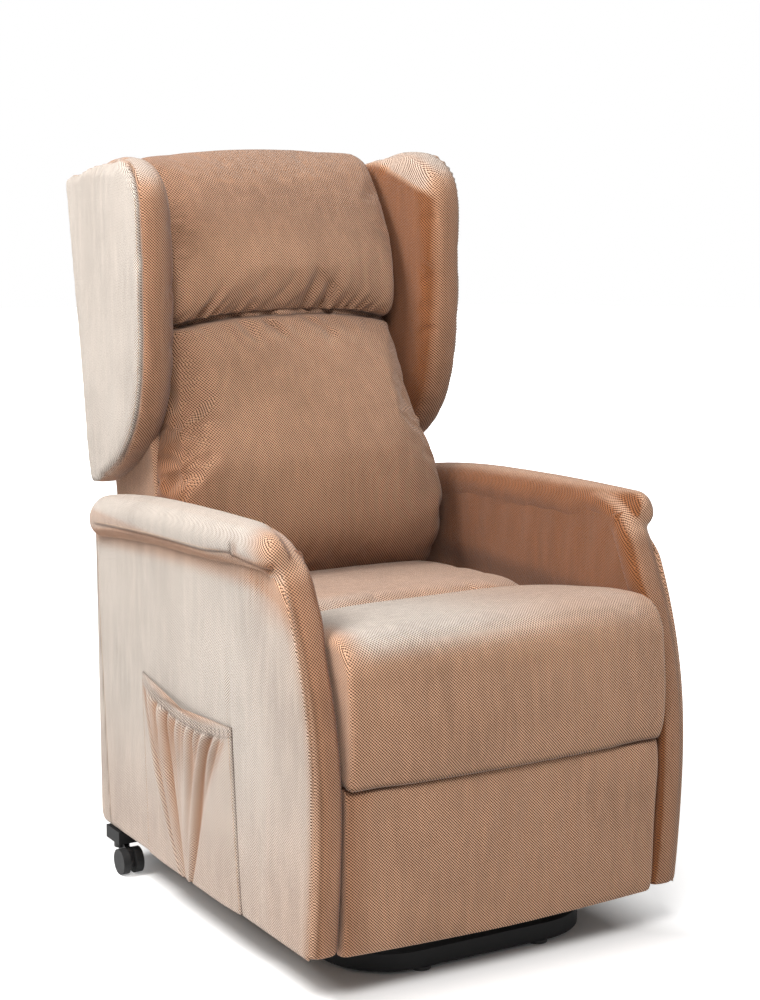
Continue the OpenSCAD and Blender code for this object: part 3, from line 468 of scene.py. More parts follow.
def woven_cloth(name, plain, pale, shaded, pitch=4.2):
    """Basket weave: on each plane of the place, 0.6 times the cosine of the sum and 0.4 times the cosine of
    the difference of two phases give sunk dots in diagonal rows. The planes are mixed by the fifth power of
    the normal, and the result drives colour, roughness and bump. plain, pale and shaded are pairs of a light
    and a dark yarn colour: the nap attribute turns the plain ones pale above 0, as painted light,
    and into the shaded ones below it, as painted shade, and the crease attribute darkens them as painted shade."""
    paint = Paint(name)
    m = paint.m
    wobble = m("MULTIPLY", paint.noise(34, 2), 2.2)
    phase = [m("MULTIPLY", part, 2 * math.pi / (pitch * MM)) for part in paint.split("Object")]
    weights = [m("POWER", m("ABSOLUTE", part), 5.0) for part in paint.split("Normal")]
    lattices = []
    for a, b, *kinds in ((1, 2, "SUBTRACT", "ADD"), (0, 2, "ADD", "SUBTRACT"), (0, 1, "ADD", "SUBTRACT")):
        main, cross = [m("COSINE", m("ADD", m(kind, phase[a], phase[b]), wobble)) for kind in kinds]
        lattices.append(m("ADD", m("MULTIPLY", main, 0.6), m("MULTIPLY", cross, 0.4)))
    sums = [m("ADD", m("ADD", a, b), c) for a, b, c in
            ([m("MULTIPLY", lattice, weight) for lattice, weight in zip(lattices, weights)], weights)]
    fibre, patch = paint.noise(900, 3, 0.7), paint.noise(6, 4, 0.6)
    slub = paint.noise(75, 4, 0.5, paint.stretched((1, 1, 0.16)))
    depth = paint.line(patch, 0.5, 0.72)
    dots = m("MULTIPLY", paint.line(m("DIVIDE", *sums), depth, 0.16), 2.5, True)
    # nap and crease carry painted light and painted shade: the mixes below swap the yarn colours for their pale,
    # lit copies and their darker, shaded copies
    nap, crease = [paint.node("Attribute", attribute_name=key).outputs["Fac"] for key in ("nap", "crease")]
    painted_lit_share, painted_shade = m("MAXIMUM", nap, 0.0), m("MULTIPLY", nap, -1.0, True)
    high = paint.mix(painted_shade, paint.mix(painted_lit_share, plain[0], pale[0]), shaded[0])
    low = paint.mix(painted_shade, paint.mix(m("POWER", painted_lit_share, 2.5), plain[1], pale[1]), shaded[1])
    shade = paint.mix(1.0, high, paint.ramp(patch, (0.3, (0.84,) * 3), (0.7, (1.12,) * 3)), "MULTIPLY")
    bright = paint.mix(1.0, high, (1.22, 1.21, 1.20), "MULTIPLY")
    shade = paint.mix(m("MULTIPLY", m("SUBTRACT", slub, 0.42), 2.2, True), shade, bright)
    woven = paint.mix(m("MULTIPLY", dots, paint.line(fibre, 0.5, 0.70), True), shade, low)
    fine = paint.bump(m("SUBTRACT", m("MULTIPLY", fibre, 0.35), dots), 0.8, 0.0009)
    return paint.done({
        # painted shade: crease darkens the weave in seams and fold valleys
        "Base Color": paint.mix(m("MULTIPLY", crease, 0.8, True), woven, times(plain[1], 0.45)),
        "Roughness": m("ADD", m("MULTIPLY", dots, 0.12), paint.line(fibre, 0.1, 0.76)),
        "Normal": paint.bump(patch, 0.3, 0.005, fine), "Specular IOR Level": 0.12,
        "Sheen Weight": 0.3, "Sheen Roughness": 0.4, "Sheen Tint": (1.0, 0.96, 0.92)})


def sewing_thread(name, colour):
    """Twisted thread: a fine wave along the stitch, with slight colour noise."""
    paint = Paint(name)
    twist = paint.noise(1400, 2, 0.6)
    return paint.done({"Base Color": paint.ramp(twist, (0.3, times(colour, 0.75)), (0.7, colour)),
                       "Normal": paint.bump(twist, 0.4, 0.0003), "Roughness": 0.7})


def powder_paint(name, colour, wear=(0.35, 0.34, 0.33), rough=0.45):
    """Powder-coated steel: orange-peel noise in the bump, and paint rubbed thin where a noise runs high."""
    paint = Paint(name)
    peel, rub, dust = paint.noise(420, 2, 0.5), paint.noise(26, 6, 0.7), paint.noise(9, 3, 0.6)
    worn = paint.m("MULTIPLY", paint.m("SUBTRACT", rub, 0.68), 7.0, True)
    base = paint.ramp(dust, (0.3, colour), (0.75, times(colour, 1.5, 0.003)))
    return paint.done({"Base Color": paint.mix(worn, base, wear),
                       "Roughness": paint.line(dust, 0.18, rough - 0.09),
                       "Normal": paint.bump(peel, 0.25, 0.0004), "Specular IOR Level": 0.22})


def bare_steel(name, colour=(0.62, 0.62, 0.63), rough=0.28):
    """Ground and plated steel: fine drawn lines along a stretched noise, with a few dull spots."""
    paint = Paint(name)
    lines = paint.noise(160, 2, 0.5, paint.stretched((1, 12, 12)))
    spots = paint.noise(40, 5, 0.7)
    return paint.done({"Base Color": paint.ramp(spots, (0.35, times(colour, 0.8)), (0.65, colour)),
                       "Roughness": paint.line(spots, 0.25, rough - 0.1),
                       "Normal": paint.bump(lines, 0.15, 0.0003), "Metallic": 1.0})


def sawn_wood(name, pale, dark, along=1):
    """Planed softwood: rings as a wave of the place stretched along the grain, bent by noise, with fine
    pores."""
    paint = Paint(name)
    stretch = paint.stretched([2.2 if k == along else 34.0 for k in range(3)])
    grain = paint.noise(1.7, 6, 0.5, stretch, 1.2)
    pores = paint.noise(14, 4, 0.5, stretch)
    tone = paint.line(paint.m("SINE", paint.m("MULTIPLY", grain, 34.0)), 0.3, 0.5)
    base = paint.ramp(tone, (0.1, dark), (0.8, pale))
    return paint.done({"Base Color": paint.mix(paint.m("MULTIPLY", pores, 0.35), base, dark),
                       "Roughness": paint.line(pores, 0.2, 0.5), "Normal": paint.bump(tone, 0.2, 0.0006)})


def moulded_plastic(name, colour, rough=0.5, grain=650):
    """Moulded plastic or rubber: spark-eroded grain in the bump and a faint cloud in colour and gloss."""
    paint = Paint(name)
    texture, cloud = paint.noise(grain, 2, 0.5), paint.noise(18, 4, 0.6)
    return paint.done({"Base Color": paint.ramp(cloud, (0.3, colour), (0.75, times(colour, 1.35, 0.003))),
                       "Roughness": paint.line(cloud, 0.2, rough - 0.1),
                       "Normal": paint.bump(texture, 0.35, 0.0004), "Specular IOR Level": 0.35})


def elastic_webbing(name, colour, line):
    """Elastic web: ribs across and cords along, as sine waves of the place, with coloured guide lines."""
    paint = Paint(name)
    m, parts = paint.m, paint.split("Object")

    def wave(k, pitch):
        """Sine of one part of the place."""
        return m("SINE", m("MULTIPLY", parts[k], 2 * math.pi / (pitch * MM)))

    ribs = m("MULTIPLY", m("MULTIPLY", wave(0, 2.2), wave(1, 2.2)), wave(2, 2.2))
    lines = m("MULTIPLY", m("SUBTRACT", m("MULTIPLY", wave(0, 30), wave(1, 39.3)), 0.8), 6.0, True)
    base = paint.ramp(paint.noise(30, 4, 0.6), (0.3, times(colour, 0.8)), (0.7, colour))
    return paint.done({"Base Color": paint.mix(lines, base, line), "Normal": paint.bump(ribs, 0.6, 0.0006),
                       "Roughness": 0.85})


# light and dark yarn of the weave: as it lies, a pale copy that is painted light, and a darker copy that is
# painted shade
PLAIN_YARN = (0.607, 0.362, 0.234), (0.060, 0.021, 0.008)
LIT_YARN = (0.63, 0.57, 0.51), (0.14, 0.095, 0.070)
SHADED_YARN = (0.28529, 0.10498, 0.03861), (0.055, 0.020, 0.008)
PALE_WOOD, DARK_WOOD = (0.62, 0.43, 0.25), (0.40, 0.235, 0.115)
cloth = woven_cloth("woven_cloth", PLAIN_YARN, LIT_YARN, SHADED_YARN)
thread = sewing_thread("thread", (0.46, 0.31, 0.21))

# finish of each CAD node; a star stands for left and right
FINISHES = [
    (powder_paint("black_paint", (0.003, 0.003, 0.0033), (0.03, 0.03, 0.03), 0.6), "base_ring base_rear_bar"),
    (powder_paint("grey_paint", (0.055, 0.056, 0.06), rough=0.5),
     "lift_bracket_* lift_arm_* lift_cross_tube lift_link_* mech_plate_* carriage_tube_front "
     "carriage_tube_rear recline_lug back_bracket_* legrest_lug legrest_strap_*"),
    (bare_steel("plated_steel"), "lift_rod recline_rod legrest_rod"),
    (bare_steel("bolt_steel", (0.55, 0.53, 0.50), 0.34), "arm_bolts"),
    (sawn_wood("frame_wood", PALE_WOOD, DARK_WOOD), "seat_side_* arm_core_*"),
    (sawn_wood("stile_wood", PALE_WOOD, DARK_WOOD, 2), "back_stiles"),
    (sawn_wood("cross_wood", (0.64, 0.45, 0.27), (0.42, 0.25, 0.13), 0),
     "seat_rail_front seat_rail_rear back_rail_top back_rail_bottom legrest_board"),
    (moulded_plastic("drive_plastic", (0.05, 0.05, 0.053), 0.55),
     "lift_actuator recline_actuator legrest_actuator control_box"),
    (moulded_plastic("glide_rubber", (0.018, 0.018, 0.018), 0.75, 900), "front_glides"),
    (moulded_plastic("caster_plastic", (0.006, 0.006, 0.0065), 0.45), "caster_hood_*"),
    (moulded_plastic("caster_tyre", (0.008, 0.008, 0.0082), 0.65, 800), "caster_wheels_*"),
    (elastic_webbing("elastic_webbing", (0.05, 0.05, 0.055), (0.30, 0.05, 0.04)),
     "seat_webbing back_webbing")]
for finish, names in FINISHES:
    for name in names.split():
        for word in SIDES.values() if "*" in name else ("",):
            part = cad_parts[name.replace("*", word)]
            part.data.materials.clear()
            part.data.materials.append(finish)


def dressed(piece, body, nodes=(), finish=cloth):
    """Gives a soft piece its cloth and its body, and hides the CAD nodes it stands for."""
    piece.data.materials.clear()
    piece.data.materials.append(finish)
    if nodes:
        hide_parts(*nodes)
    if body:
        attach(piece, body)
    return piece


# ---------------------------------------------------------------- back

# folds below the back seam: x of the fold's root, width, depth, length down, slope
LUMBAR_FOLDS = [
    (-45, 6, 6.0, 26, 1.2), (30, 7, 4.5, 22, 1.4), (88, 9, 2.5, 20, 0.6), (-120, 10, 2.5, 25, 0.8),
    (150, 8, 2.0, 20, -0.8), (176, 7, 4.0, 26, 0.9)]
# folds in from each side of the lumbar cushion: z at the side, width, depth, length inwards, slope
SIDE_FOLDS = {
    -1: [(640, 10, 3.0, 75, 0.9), (610, 12, 2.6, 70, 0.85), (575, 14, 1.8, 60, 0.7), (520, 15, 2.0, 70, 0.35)],
    1: [(600, 14, 2.0, 50, -0.5), (530, 15, 2.5, 70, -0.4)]}
# gathers above the back seam: x of the root, width, depth, length up, slope
HEAD_GATHERS = [
    (-194, 7, 6.0, 20, 0.8), (-172, 6, 4.0, 18, 0.7), (-150, 6, 11.0, 56, 0.48), (-130, 6, 8.0, 42, 0.52),
    (-112, 6, 6.0, 32, 0.5), (-94, 5.5, 5.0, 24, 0.4), (-72, 6, 4.0, 22, 0.5), (-46, 6, 3.5, 18, 0.4),
    (0, 6, 5.0, 22, 0.5), (17, 6, 8.0, 40, 0.42), (34, 6, 12.0, 68, 0.16), (50, 5, 8.0, 44, 0.20),
    (67, 6, 12.0, 64, 0.10), (89, 5.5, 7.0, 30, 0.40), (107, 5.5, 8.5, 42, 0.38), (124, 5.5, 7.0, 34, 0.42),
    (141, 5.5, 6.0, 27, 0.40), (162, 6, 3.5, 18, 0.3)]


def make_lumbar():
    """Lumbar cushion: rounded sections up the back, swollen as cloth, then the seam tuck and its folds
    pressed in."""
    low, high = SEAT_HEIGHT - 28, BACK_SEAM + 10
    t = spread(30)
    z = mix(low, high, t)
    f = np.where(t < 0.5, full(t, 9), full(t, 15))
    rear = np.minimum(stile_y(z) - 5.0, mix(FOOT_REAR, 999.0, np.minimum(t * 3, 1)))
    w = lumbar_half(t) + 2 - 6 * (1 - f)
    wi = np.minimum(w - 3, mix(LUMBAR_HALF - 31, HEAD_HALF - 4, np.minimum(t * 2.4, 1)))
    corner = np.stack([mix(34.0, 18.0, t)] * 2 + [0 * t + 20] * 2, 1)
    sections = mix(rear, lumbar_y(z) + 7, f), z, rear, z, -w, w, -wi, wi
    piece = loft("lumbar_pillow", cushion_rings(sections, corner, 12, 24, 7, 8))

    def hold(a, b):
        """Keeps the sides inside the arms and the rear clear of the webbing."""
        t = np.clip((a[:, 2] - SEAT_HEIGHT + 15) / (BACK_SEAM - SEAT_HEIGHT + 15), 0, 1)
        lim = lumbar_half(t) + 4
        b[:, 0] = np.clip(b[:, 0], -lim, lim)
        rear = np.minimum(stile_y(b[:, 2]) - WEB_GAP, FOOT_REAR + 745 * np.minimum(t * 3, 1))
        b[:, 1] = np.minimum(b[:, 1], rear)
        b[:, 2] = np.clip(b[:, 2], low, high + 1)
        return b

    plumped(piece, 5.5, 4.0, 16, hold)
    p, n = points_normals(piece)
    x, y, z = p.T
    front = step(0.0, 0.5, -n[:, 1])
    push = 6.0 * bell(z - BACK_SEAM - 3, 5.5) * front
    # painted shade in the seam tuck and, faintly, in the fold valleys
    crease = 0.9 * bell(z - BACK_SEAM - 2, 2.2)
    below = BACK_SEAM - z
    pressed, valley = folded(LUMBAR_FOLDS, x, below, 0.12)
    rooted = front * step(0, 9, below)
    push += pressed * rooted
    crease += 0.05 * valley * rooted
    for side, folds in SIDE_FOLDS.items():
        inward = lumbar_half(np.clip((z - 449) / 380, 0, 1)) - side * x
        pressed, valley = folded(folds, z, inward, 0.10)
        push += pressed * front
        crease += 0.04 * valley * front
    lift = seam_lift(x) * np.clip((z - 700) / (BACK_SEAM - 700), 0, 1) ** 1.5
    p -= n * push[:, None]
    p[:, 2] += lift
    set_points(piece, p)
    # painted shade: darker towards the sides, towards the foot and on the left edge of the cushion
    foot_shade, left_shade = 0.5 * step(560, 470, z), 0.55 * step(110, 0, x + 240)
    marked(piece, crease, -0.35 * step(200, 240, np.abs(x)) - foot_shade - left_shade)
    return dressed(piece, "back", ("lumbar_cushion",))


def make_head():
    """Head cushion: sections up the front and over the top, swollen as cloth, then gathered along the back
    seam."""
    base, z1, crown = BACK_SEAM - 8, TOP_Z - 20, 4.0
    z = mix(base, z1, np.linspace(0, 1, 24))
    f = full(0.5 * np.minimum((z - base) / 60, 1) + 0.002, 7)
    inner = stile_y(z) - 5.5
    low = [mix(inner, head_y(z) + crown + 5, f), z,
           np.minimum(inner, stile_y(COVER_TOP)), np.minimum(z, COVER_TOP - 10)]
    s = np.linspace(0, 1, 12)[1:]
    roof = TOP_Z - crown - 5 - 29 * s ** 2.4 - 12 * (1 - np.minimum(3 * s, 1)) ** 2
    over = [mix(head_y(z1) + crown + 9, BY - 9, s), roof,
            mix(stile_y(COVER_TOP) + 4, BY - 24, s), COVER_TOP - 10 + 9 * np.minimum(s * 4, 1)]
    w = HEAD_HALF + 2.0
    sections = [np.concatenate(pair) for pair in zip(low, over)] + [-w, w, -w + 1, w - 1]
    piece = loft("head_pillow", cushion_rings(sections, [[20.0, 20.0, 8.0, 8.0]], 7, 26, 7, 8))

    def hold(a, b):
        """Keeps the sides between the wings, the foot on the seam and the rear off the webbing."""
        b[:, 0] = np.clip(b[:, 0], -HEAD_HALF - 4, HEAD_HALF + 4)
        b[:, 2] = np.clip(b[:, 2], BACK_SEAM - 9, TOP_Z - 1.5)
        under = b[:, 2] < COVER_TOP - 12
        b[under, 1] = np.minimum(b[under, 1], stile_y(b[under, 2]) - WEB_GAP)
        b[:, 1] = np.minimum(b[:, 1], BY - 1)
        return b

    plumped(piece, 5.5, 4.0, 12, hold)
    p, n = points_normals(piece)
    x, y, z = p.T
    front = step(0.0, 0.5, -n[:, 1])
    up = z - BACK_SEAM
    pressed, valley = folded(HEAD_GATHERS, x, up, 0.09, 1.3)
    rooted = front * step(0, 10, up)
    lift = seam_lift(x) * np.clip(1 - up / 150, 0, 1) ** 1.2
    p -= n * (6.0 * bell(up + 1, 6.0) * front + pressed * rooted)[:, None]
    p[:, 2] += lift
    set_points(piece, p)
    # painted shade: darker on the top, towards the sides and at the left edge, and in the seam and the gathers'
    # valleys
    above = step(0.12, 0.60, n[:, 2])
    side_shade, left_shade = 0.2 * step(182, 198, np.abs(x)), 0.1 * step(100, 0, x + 190)
    crease = 0.9 * bell(up + 1, 2.2) + 0.03 * valley * rooted
    marked(piece, np.maximum(crease, 0.24 * above), -0.22 * above - side_shade - left_shade)
    return dressed(piece, "back", ("head_cushion",))


def make_wing(side):
    """Wing: upright sections with a flat outer panel that ends in a sharp seam, a fat front roll beside it
    and a thinner rear. Its top line is raised by 9 mm times a sine of the depth. Swollen a little, with
    puckers at the seam's top."""
    t = spread(34)
    z = mix(WING_LOW + 4, TOP_Z - 4, t)
    zr = mix(WING_LOW + 1, TOP_Z - 44, t)
    e = 13 * (1 - full(t, 16))
    y, yr = wing_y(z) - 1, rear_y(zr) + 5.0
    outside = WING_X + 1 - 0.6 * e
    sections = y + 1.2 * e, z, yr - 0.3 * e, zr, HEAD_HALF + 27 + e, outside, HEAD_HALF + 3 + e, outside + 1
    rings = cushion_rings(sections, [[28.0, 10.0, 3.0, 5.0]], 6, 8, 24, 8)
    part = (rings[..., 1] - y[:, None]) / (yr - y)[:, None]
    rings[..., 2] += 9 * np.sin(np.pi * np.clip(part, 0, 1)) * step(0.80, 1.0, t)[:, None]
    piece = loft("wing_shell_" + SIDES[side], rings, side)

    def hold(a, b):
        """Keeps the wing off the head cushion and inside the chair's width, and its rear edge where it is
        sewn."""
        b = mix(b, a, step(55, 20, rear_y(a[:, 2]) - a[:, 1])[:, None])
        s = np.minimum(b[:, 0] * side, WING_X + 2.5)
        depth = np.clip((b[:, 1] - wing_y(b[:, 2])) / 150, 0, 1)
        b[:, 0] = side * np.maximum(s, mix(HEAD_HALF + 20, HEAD_HALF + 1.0, depth))
        b[:, 2] = np.clip(b[:, 2], WING_LOW, TOP_Z - 0.5)
        return b

    plumped(piece, 5.0, 3.0, 6, hold)
    p, n = points_normals(piece)
    x, y, z = p.T
    out = n[:, 0] * side
    outer = step(WING_X - 18, WING_X - 8, x * side)
    d = y - wing_y(z) - 9
    groove = bell(d, 2.6) * outer * step(WING_LOW + 30, WING_LOW + 60, z)
    pucker = np.sin(z * 0.75) * bell(np.maximum(d, 0), 16) * step(-2, 3, d) * step(1030, 1060, z) * outer
    ripple = np.sin(y * 0.06 + np.sin(z * 0.011) * 2.0 + 0.01 * z) * step(10, 60, d) * outer
    p -= n * (2.6 * groove + 1.3 * pucker + 0.7 * ripple)[:, None]
    set_points(piece, p)
    # painted light on the flat outer panel and the top, and a lit patch high on the inside, strong on the right
    # wing and faint on the left; painted shade on the rest of the inside and on the front roll; crease paints
    # shade in the seam groove and the puckers
    flat = step(0.25, 0.75, out) * step(-3, 2, d)
    inner = step(-0.1, 0.6, -out) * step(-10, 14, d)
    lit_line = 1001 + 71 * (np.clip(y - 130, 0, 168) / 168) ** 0.6
    lit = step(-6, 8, z - lit_line) * (0.75 if side > 0 else 0.2)
    top = 0.75 * step(0.45, 0.95, n[:, 2])
    roll = 0.65 * step(0.35, 0.8, out) * step(2, -3, d)
    roll = np.maximum(roll, 0.35 * step(0.2, 0.7, -n[:, 1]) * step(1060, 1030, z))
    marked(piece, 0.7 * groove + 0.25 * np.maximum(pucker, 0),
           np.where(flat > 0, flat, np.maximum(top, inner * lit) - inner * (1 - lit) - roll))
    return dressed(piece, "back", ("wing_" + SIDES[side],))


def make_back_cover():
    """Rear cover: a shallow panel of cloth between the wings, wider below them, with returns round the
    sides."""
    z = np.concatenate([np.linspace(403, 582, 14), np.linspace(586, COVER_TOP, 30)])[:, None]
    half = np.where(z < 584, 233.0, 196.0)
    s = np.linspace(-1, 1, 60)
    bulge = 2.0 * np.sin(np.pi * (z - 402) / 658) * (1 - s ** 4)
    outer = np.stack([half * s, rear_y(z) + bulge - 2.5 * np.abs(s) ** 18 - 2.0, z + 0 * s], -1)
    inner = outer.copy()
    inner[..., 1] -= 9.5 - 2.0 * np.abs(s) ** 18
    return dressed(two_skins("rear_cover", outer, inner, turned=True), "back", ("back_cover",))


def make_side_return(side):
    """Boxing on the side of the back below a wing: a rounded slab from the cover forwards into the lumbar
    cushion."""
    t = spread(12)
    z = mix(452, 690, t)
    front, x0 = stile_y(z) - 100 + 6 * (1 - full(t, 8)), 221.0
    rings = cushion_rings((front, z, rear_y(z) - 3, z, x0, x0 + 16.5, x0, x0 + 16.5), 6, 0, 3, 20, 4)
    return dressed(loft("back_side_" + SIDES[side], rings, side), "back", ())


make_lumbar()
make_head()
for side in SIDES:
    make_wing(side)
make_back_cover()
for side in SIDES:
    make_side_return(side)


# ---------------------------------------------------------------- seat

# middle of the seat front's roll
CREST_Y, CREST_Z = FACE_Y + ROLL_RADIUS + 6, SEAT_HEIGHT + SEAT_CREST - ROLL_RADIUS


def make_seat_rear():
    """Rear part of the seat: flat below, crowned above, drawn in at the cross seam and swollen as cloth."""
    t = spread(20)
    f = np.where(t < 0.5, full(t, 16), full(t, 7))
    y = mix(SEAT_REAR - 1, SEAM_Y + 3, t)
    z = SEAT_HEIGHT - 24 * (1 - t) + 3 * np.sin(np.pi * t) - 5
    w = SEAT_HALF - 9 - 10 * (1 - f)
    base = SEAT_BASE + 0.5
    sections = y, mix(base, z, f), y, base, -w, w, -w + 2, w - 2
    piece = loft("seat_pillow", cushion_rings(sections, 26, 8, 26, 5, 7))

    def hold(a, b):
        """Keeps the pad between the arms, on the webbing and behind the cross seam."""
        low = np.array([6.5 - SEAT_HALF, SEAM_Y + 0.5, SEAT_BASE + 0.2])
        return np.clip(b, low, [SEAT_HALF - 6.5, SEAT_REAR, SEAT_HEIGHT + 9])

    plumped(piece, 5.5, 4.0, 9, hold)
    p, n = points_normals(piece)
    # painted light on the top, strongest on its left part near the cross seam; painted shade along the cross seam
    bright = 0.25 + 0.65 * step(-60, SEAM_Y + 12, p[:, 1]) * step(60, -160, p[:, 0])
    marked(piece, 0.6 * bell(p[:, 1] - SEAM_Y, 5), bright * step(0.5, 0.95, n[:, 2]))
    return dressed(piece, "carriage", ("seat_cushion",))


def seat_top(t):
    """Height of the seat front's top from the cross seam, where t is 0, to its crest."""
    return SEAT_HEIGHT + SEAT_CREST * np.sin(np.pi / 2 * t) ** 0.9


def roll_line(count):
    """Outer line of the seat front in the side plane, as y, z: up from the cross seam to the crest, round the
    roll and down the front to the seam across it. Points are evenly spaced along its length."""
    t = np.linspace(0, 1, 60)
    top = np.stack([mix(SEAM_Y - 1, CREST_Y + 4, t), seat_top(t) - 10 * np.exp(-t * 30)], 1)
    a = np.radians(np.linspace(84, 4, 30))
    bend = np.stack([CREST_Y - ROLL_RADIUS * np.cos(a), CREST_Z + ROLL_RADIUS * np.sin(a)], 1)
    z = np.linspace(CREST_Z - 6, FRONT_SEAM + 3, 50)
    u = (z - FRONT_SEAM) / (CREST_Z - FRONT_SEAM)
    down = np.stack([FACE_Y + 6 - 7 * np.sin(np.pi * u ** 0.8) + 8 * (1 - u) ** 6, z], 1)
    return evenly(np.concatenate([top, bend, down]), count)


def make_front_cloth():
    """Cover of the seat front: one sheet of cloth and wadding swept along the roll line, its two side edges
    turned inwards on a radius, with shallow pulls near its lower corners."""
    rows, cols, half, thick = 150, 130, 253.4, 4.0
    line = roll_line(rows)
    slope = np.gradient(line, axis=0)
    slope /= np.linalg.norm(slope, axis=1, keepdims=True)
    normal = np.stack([slope[:, 1], -slope[:, 0]], 1)
    normal *= np.where(normal[:1, 1] < 0, -1, 1)
    ny, nz = normal[:, :1], normal[:, 1:]
    y0, z0 = line[:, :1], line[:, 1:]
    v = np.linspace(0, 1, rows)[:, None]
    radius = mix(34.0, 9.0, step(0.30, 0.60, v))
    inward = mix(92.0, 84.0, step(0.36, 0.62, v))
    s = np.linspace(-1, 1, cols)
    flat = half - radius
    travel = np.abs(s)[None] * (flat + radius * np.pi / 2 + (inward - radius))
    angle = np.clip((travel - flat) / radius, 0, np.pi / 2)
    x = np.where(travel < flat, travel, flat + radius * np.sin(angle)) * np.sign(s)
    drop = radius * (1 - np.cos(angle)) + np.maximum(travel - flat - radius * np.pi / 2, 0)
    crown = 7 * (1 - (x / 262) ** 2) - 7 * (x / 255) ** 4 * step(0.45, 0.25, v)
    pull = 1.8 * np.sin((np.abs(x) * 0.05 + z0 * 0.045)) * bell(np.abs(x) - 215, 60) * bell(z0 - 318, 34)
    wave = 0.9 * np.sin(x * 0.021 + 1.3) * np.sin(z0 * 0.035) * step(300, 330, z0)
    wave = wave + 0.5 * np.sin(x * 0.19 + 1.7 * np.sin(z0 * 0.05)) * bell(x - 120, 110) * bell(z0 - 330, 50)
    out = crown * step(0.0, 0.12, v) - drop + pull + wave
    outer = np.stack([x, y0 + ny * out, z0 + nz * out], -1)
    inner = np.stack([x * (1 - thick / 262), outer[..., 1] - ny * thick, outer[..., 2] - nz * thick], -1)
    # painted light on the top of the roll, strongest on the left and falling off to the right and at the turned
    # ends; painted shade on the front below and along the seams at its two ends
    lit = mix(1.0, 0.35, step(-120, 150, x)) * step(254, 205, np.abs(x))
    nap = step(0.30, 0.95, nz) * lit - 0.15 * step(0.3, 0.0, nz)
    crease = 0.7 * bell(v - 1.0, 0.012) + 0.5 * bell(v, 0.006) + 0 * x
    piece = dressed(two_skins("front_cloth", outer, inner, crease, nap), None, ())
    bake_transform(piece)
    return piece


def make_roll():
    """Filling of the seat front under its cover: sections along the seat and round the roll, 7 mm inside its
    line."""
    t = np.linspace(0, 1, 12)
    f = (1 - (1 - np.minimum(t * 2.2 + 0.03, 1)) ** 4) ** 0.25
    y = mix(SEAM_Y - 4, CREST_Y + 4, t)
    back = [y, mix(SEAT_BASE + 40, seat_top(t), f) - 7, np.maximum(y, FY + 61), 0 * t + SEAT_BASE + 0.5]
    i = np.arange(6)
    a, s, r = np.radians(75 - 12 * i), (i + 1) / 6, ROLL_RADIUS - 7
    front = [CREST_Y - r * np.cos(a), CREST_Z + r * np.sin(a), mix(FY + 61, FY + 36, s ** 2),
             mix(SEAT_BASE, SEAT_HEIGHT - 8, np.sqrt(s)) + 0.5]
    w = SEAT_HALF - 9 - np.concatenate([0 * t, 0.2 * i * i])
    sections = [np.concatenate(pair) for pair in zip(back, front)] + [-w, w, -w + 3, w - 3]
    piece = loft("seat_roll", cushion_rings(sections, 26, 3, 22, 5, 7))
    modified(piece, "REMESH", mode="VOXEL", voxel_size=8 * MM)
    return dressed(piece, "carriage", ("seat_front_cushion",))


def make_leg_pad(name, z0, z1, y_low, y_high, half_low, half_high, taper, corner, crown, inset=0.0):
    """Pad of the leg rest: rounded sections down the board, crowned across and drawn in at its ends."""
    t = spread(26)
    z = mix(z0, z1, t)
    f = full(t, taper)
    w = mix(half_low, half_high, t) - 3 * (1 - f)
    rear = FY + 35.0
    sections = mix(rear, mix(y_low, y_high, t), f) + inset, z, rear, z, -w, w, -w + 1, w - 1
    return loft(name, cushion_rings(sections, corner, crown, 60, 4, 6))


def make_leg_pads():
    """Upper pad, hidden under the seat front's cover, and lower pad with shallow folds and a foot that sags 5
    mm."""
    upper = make_leg_pad("leg_pad_upper", FRONT_SEAM + 4, 418, FACE_Y + 8, FACE_Y + 8, 251, 251, 8, 12, 0, 3)
    dressed(upper, "legrest", ("legrest_upper_pad",))
    lower = make_leg_pad("leg_pad_lower", GROUND_GAP - 4, FRONT_SEAM + 2, FY + 4, FY - 6, 254, 253, 10, 10, 3)
    subdivided(lower)
    p, n = points_normals(lower)
    x, y, z = p.T
    face = step(0.2, 0.8, -n[:, 1])
    fold = 1.3 * np.sin(x * 0.018 + z * 0.011 + 0.6) * np.sin(z * 0.030 + 0.4)
    fold += 1.4 * np.sin(np.abs(x) * 0.06 + z * 0.05) * bell(np.abs(x) - 225, 40) * bell(z - 280, 30)
    fold += 0.7 * np.sin(x * 0.17 + 1.5 * np.sin(z * 0.04)) * bell(x - 60, 150) * bell(z - 200, 90)
    p += n * (fold * face)[:, None]
    p[:, 2] -= 5 * np.maximum(1 - (x / 262) ** 2, 0) * step(115, 64, z)
    set_points(lower, p)
    # painted shade in the seam at the top of the face, faintly over the front face and more towards the left edge
    marked(lower, step(FRONT_SEAM - 5, FRONT_SEAM, z) * face, -0.15 * face - 0.35 * step(-200, -254, x))
    dressed(lower, "legrest", ("legrest_lower_pad",))


make_seat_rear()
make_front_cloth()
make_roll()
make_leg_pads()


# ---------------------------------------------------------------- arms

def panel_rear(z, low, top):
    """Rear line of an arm panel: RY, rounded on 20 mm at the foot and 10 mm at the top."""
    foot = 20 - np.sqrt(np.maximum(400 - np.clip(low + 20 - z, 0, 20) ** 2, 0))
    head = 10 - np.sqrt(np.maximum(100 - np.clip(z - top + 10, 0, 10) ** 2, 0))
    return RY - foot - head


